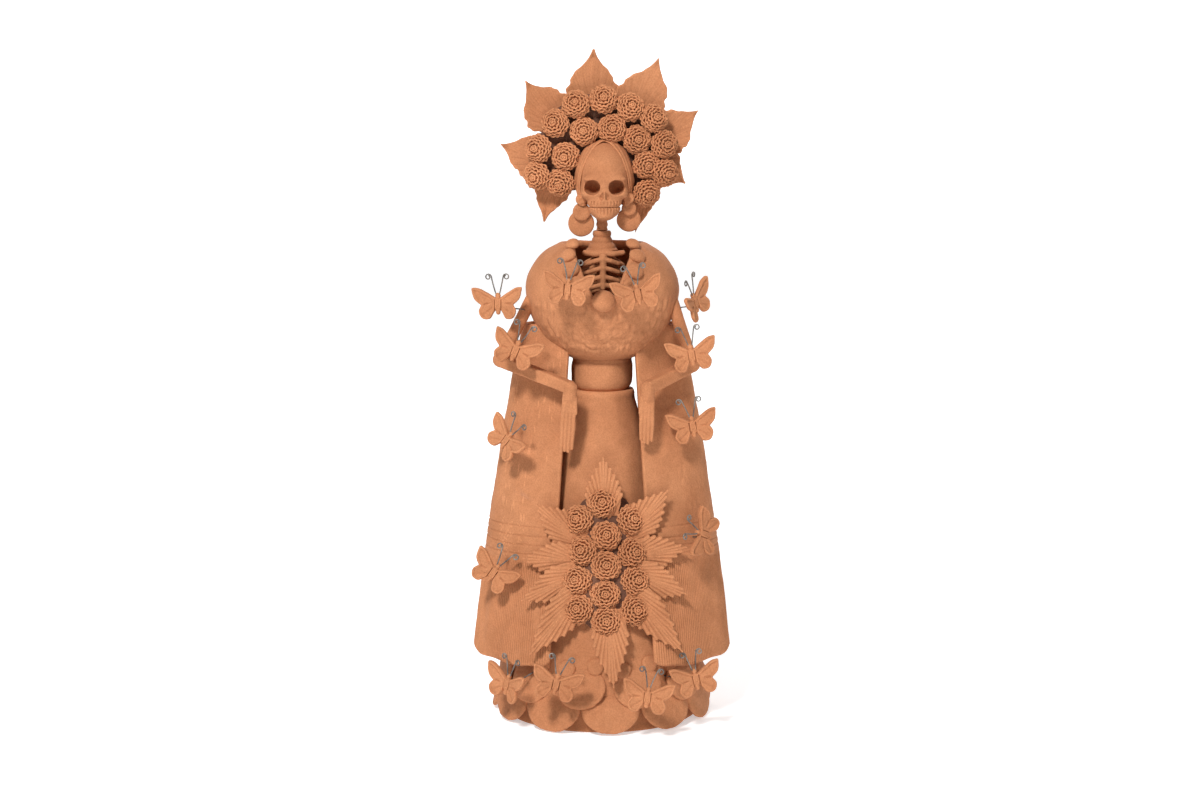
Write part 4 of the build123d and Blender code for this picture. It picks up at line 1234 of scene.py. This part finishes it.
def butterfly_blank():
    """A thick clay butterfly: head along +Y, face along +Z, wings lifted in a shallow V."""
    upper = spline([(0.6, 3.6), (8.0, 8.4), (16.0, 12.2), (19.6, 12.0), (19.3, 8.6), (17.2, 3.0),
                    (12.6, -0.9)], 38)
    lower = spline([(12.6, -0.9), (14.7, -5.2), (11.6, -11.1), (6.2, -11.1), (3.2, -6.4),
                    (0.6, -2.6)], 30)
    outline = np.concatenate([upper, lower[1:]])

    def shape(p):
        x, y, z = np.abs(p[..., 0]), p[..., 1], p[..., 2]
        flat_x = x[:, :, 0]
        flat = polygon_distance(flat_x / cos(WING_LIFT), y[:, :, 0], outline)
        away = np.hypot(flat_x - 1, y[:, :, 0] - 1)
        turn = np.arctan2(y[:, :, 0] - 1, flat_x + 0.5)
        border = 0.55 * np.exp(-((flat + 1.0) / 0.75) ** 2)
        veins = -0.60 * np.abs(np.cos(turn * 5.2 + 0.4)) ** 9 * smooth_step(away, 3.5, 6) * (
            1 - smooth_step(flat, -2.6, -1.6))
        split = -0.5 * np.exp(-((turn + 0.12) / 0.07) ** 2) * smooth_step(away, 4, 7)
        relief = (border + veins + split)[..., None]
        lifted = (z - x * tan(WING_LIFT)) * cos(WING_LIFT)
        thick = np.abs(lifted) - 1.5 - relief * (lifted > 0)
        wing = -join(-(flat[..., None] + 0 * z), -thick, 1.3)
        body = capsule(p, (0, -6.4, 0.2), (0, 3.0, 0.4), 1.75, 2.2)
        body = join(body, ball(p, (0, 6.2, 0.6), (1.9, 2.1, 1.9)), 0.8)
        for ring in (-5.2, -3.4, -1.6):
            groove = capsule(p, (-1.6, ring, 2.1), (1.6, ring, 2.1), 0.28)
            body = carve(body, groove, 0.3)
        wing = carve(wing, np.abs(x - 2.5) - 0.28 + 5 * np.maximum(np.abs(y + 1) - 4.5, 0)
                     + 5 * np.maximum(0.6 - z, 0), 0.3)
        return join(wing, body, 0.5)
    return sculpt(shape, (-22, -13.5, -3.5), (22, 14.5, 8.5), 0.4, 1, 0.0)


def butterfly_axes(roll, yaw):
    """Right, head and face directions for a turn in the front plane and one to the side."""
    turn, spin = radians(yaw), radians(roll)
    face = unit((sin(turn), -cos(turn), 0.12))
    side = np.array((cos(turn), sin(turn), 0.0))
    side = (side * cos(spin) + np.cross(face, side) * sin(spin)
            + face * face.dot(side) * (1 - cos(spin)))
    side = unit(side - face * face.dot(side))
    return np.array((side, np.cross(face, side), face))


def antenna(side, seed):
    """A wire from the head, nearly straight, that ends in a tight outward curl."""
    lean = radians(90 - side * (15 + 2.5 * (lattice(seed, side + 2, 0, 5) * 2 - 1)))
    reach = unit((cos(lean), sin(lean), 0.12))
    out = unit(np.cross(reach, (0, 0, 1))) * side
    start = np.array((side * 0.8, 5.5, 1.0))
    t = np.linspace(0, 1, 14)[:, None]
    bend = 0.9 * np.sin(t * pi) * (lattice(seed, side + 2, 1, 6) - 0.5)
    stem = start + reach * 15.6 * t + out * bend
    hub = stem[-1] + out * 2.3
    turn = np.linspace(0, radians(430), 34)[1:, None]
    radius = 2.3 - 1.25 * turn / turn[-1]
    curl = hub - out * radius * np.cos(turn) + reach * radius * np.sin(turn)
    curl = curl + np.array((0, 0, 1)) * 0.5 * turn / turn[-1]
    return tube(np.concatenate([stem, curl]), WIRE_RADIUS, 8)


def make_butterflies():
    """Fourteen butterflies, each on a spring wire that is set in the clay."""
    blank = butterfly_blank()
    joints = {j["child"]: j for j in ROW["behaviour"]["joints"]}
    for i, (number, turns) in enumerate(BUTTERFLY_TURNS.items()):
        name = f"butterfly_{number}"
        axes = butterfly_axes(*turns)
        shape = moved(blank, (0, 0, 0), axes)
        low, high = box_mm(name)
        centre = (low + high) / 2 - (shape[0].min(0) + shape[0].max(0)) / 2
        shape = raised(moved(shape, centre), lambda p: hand_marks(p, 0.9, 200 + i))
        add(name + "_clay", shape, name)
        antennae = [moved(antenna(side, i), centre, axes) for side in (-1, 1)]
        root = np.array(joints[name]["pos_m"]) / MM
        back = centre - axes[2] * 0.4
        t = np.linspace(-0.12, 1, 16)[:, None]
        bow = np.array((0, 0, -0.9)) * np.sin(np.clip(t, 0, 1) * pi)
        stem = tube(root + (back - root) * t + bow, WIRE_RADIUS, 8)
        add(name + "_spring_wires", gather(antennae + [stem]), name + "_wires")


def colour_torso_core():
    """The core inside the shawl keeps its CAD shape, in the same clay."""
    materials = frame["nodes"]["torso_core"].data.materials
    materials.clear()
    materials.append(MATERIALS["terracotta"])


# ---- stage, light and camera ----
def studio_sheet(name, verts, faces, material):
    """A flat sheet of the studio."""
    mesh = bpy.data.meshes.new(name)
    mesh.from_pydata(verts, [], faces)
    mesh.materials.append(material)
    sheet = bpy.data.objects.new(name, mesh)
    bpy.context.scene.collection.objects.link(sheet)
    return sheet


def make_floor():
    """A plain pale floor and a lit wall far behind it."""
    side = np.linspace(-1, 1, 9)
    verts = [(x * FLOOR_HALF, y * FLOOR_HALF, 0.0) for y in side for x in side]
    count = len(side)
    faces = [(j * count + i, j * count + i + 1, (j + 1) * count + i + 1, (j + 1) * count + i)
             for j in range(count - 1) for i in range(count - 1)]
    paper, tree, shader = new_material("pale_paper")
    where = node(tree, "ShaderNodeTexCoord").outputs["Object"]
    colour = ramp(tree, grain(tree, where, 400, 2), 0.3, 0.7, (0.86, 0.86, 0.865),
                  (0.90, 0.90, 0.90))
    tree.links.new(colour, shader.inputs["Base Color"])
    set_inputs(shader, Roughness=0.9, Emission_Color=(1, 1, 1, 1), Emission_Strength=FLOOR_GLOW)
    floor = studio_sheet("studio_floor", verts, faces, paper)

    glow, _, shader = new_material("lit_paper")
    set_inputs(shader, Base_Color=(0.9, 0.9, 0.9, 1), Emission_Color=(1, 1, 1, 1),
               Emission_Strength=0.9)
    corners = [(-14, 8.9, -0.5), (14, 8.9, -0.5), (14, 8.9, 12), (-14, 8.9, 12)]
    wall = studio_sheet("studio_wall", corners, [(0, 1, 2, 3)], glow)


def make_lights():
    """Soft studio light from above left, and an even white world."""
    world = bpy.data.worlds.new("studio")
    world.use_nodes = True
    set_inputs(world.node_tree.nodes["Background"], Color=(1, 1, 1, 1), Strength=WORLD_LIGHT)
    bpy.context.scene.world = world
    bpy.context.scene.view_settings.view_transform = "Standard"

    target = np.array(LIGHT_TARGET)
    for name, place, size, energy in LIGHTS:
        lamp = bpy.data.lights.new(name, "AREA")
        lamp.shape = "DISK"
        lamp.size = size
        lamp.energy = energy
        lamp_object = bpy.data.objects.new(name, lamp)
        lamp_object.location = place
        aim = Vector(target - np.array(place))
        lamp_object.rotation_euler = aim.to_track_quat("-Z", "Y").to_euler()
        bpy.context.scene.collection.objects.link(lamp_object)


def make_camera():
    """The camera, before the figure and looking a little down."""
    camera = bpy.data.cameras.new("camera")
    camera.lens = CAMERA_LENS
    camera.sensor_width = 36
    camera.sensor_fit = "HORIZONTAL"
    eye = bpy.data.objects.new("camera", camera)
    eye.location = CAMERA_PLACE
    eye.rotation_euler = (radians(90 - CAMERA_DOWN), 0, 0)
    bpy.context.scene.collection.objects.link(eye)
    bpy.context.scene.camera = eye


make_floor()
make_lights()
make_camera()
make_skirt()
make_waist_band()
make_hem()
make_shawl()
make_beads()
make_mantle(-1, "mantle_left")
make_mantle(1, "mantle_right")
make_ribs()
make_clavicle()
make_collar()
make_peg()
for arm_side, arm_points in ARMS.items():
    make_arm(arm_side, arm_points)
make_skull()
make_jaw()
make_hair()
make_earrings()
make_pads()
make_flowers("headdress_flowers", "headdress_blooms", *HEADDRESS_BLOOM, hood_outward, 300)
make_flowers("bouquet_flowers", "bouquet_blooms", *BOUQUET_BLOOM, skirt_outward, 400)
make_head_leaves()
make_bouquet_leaves()
make_butterflies()
colour_torso_core()
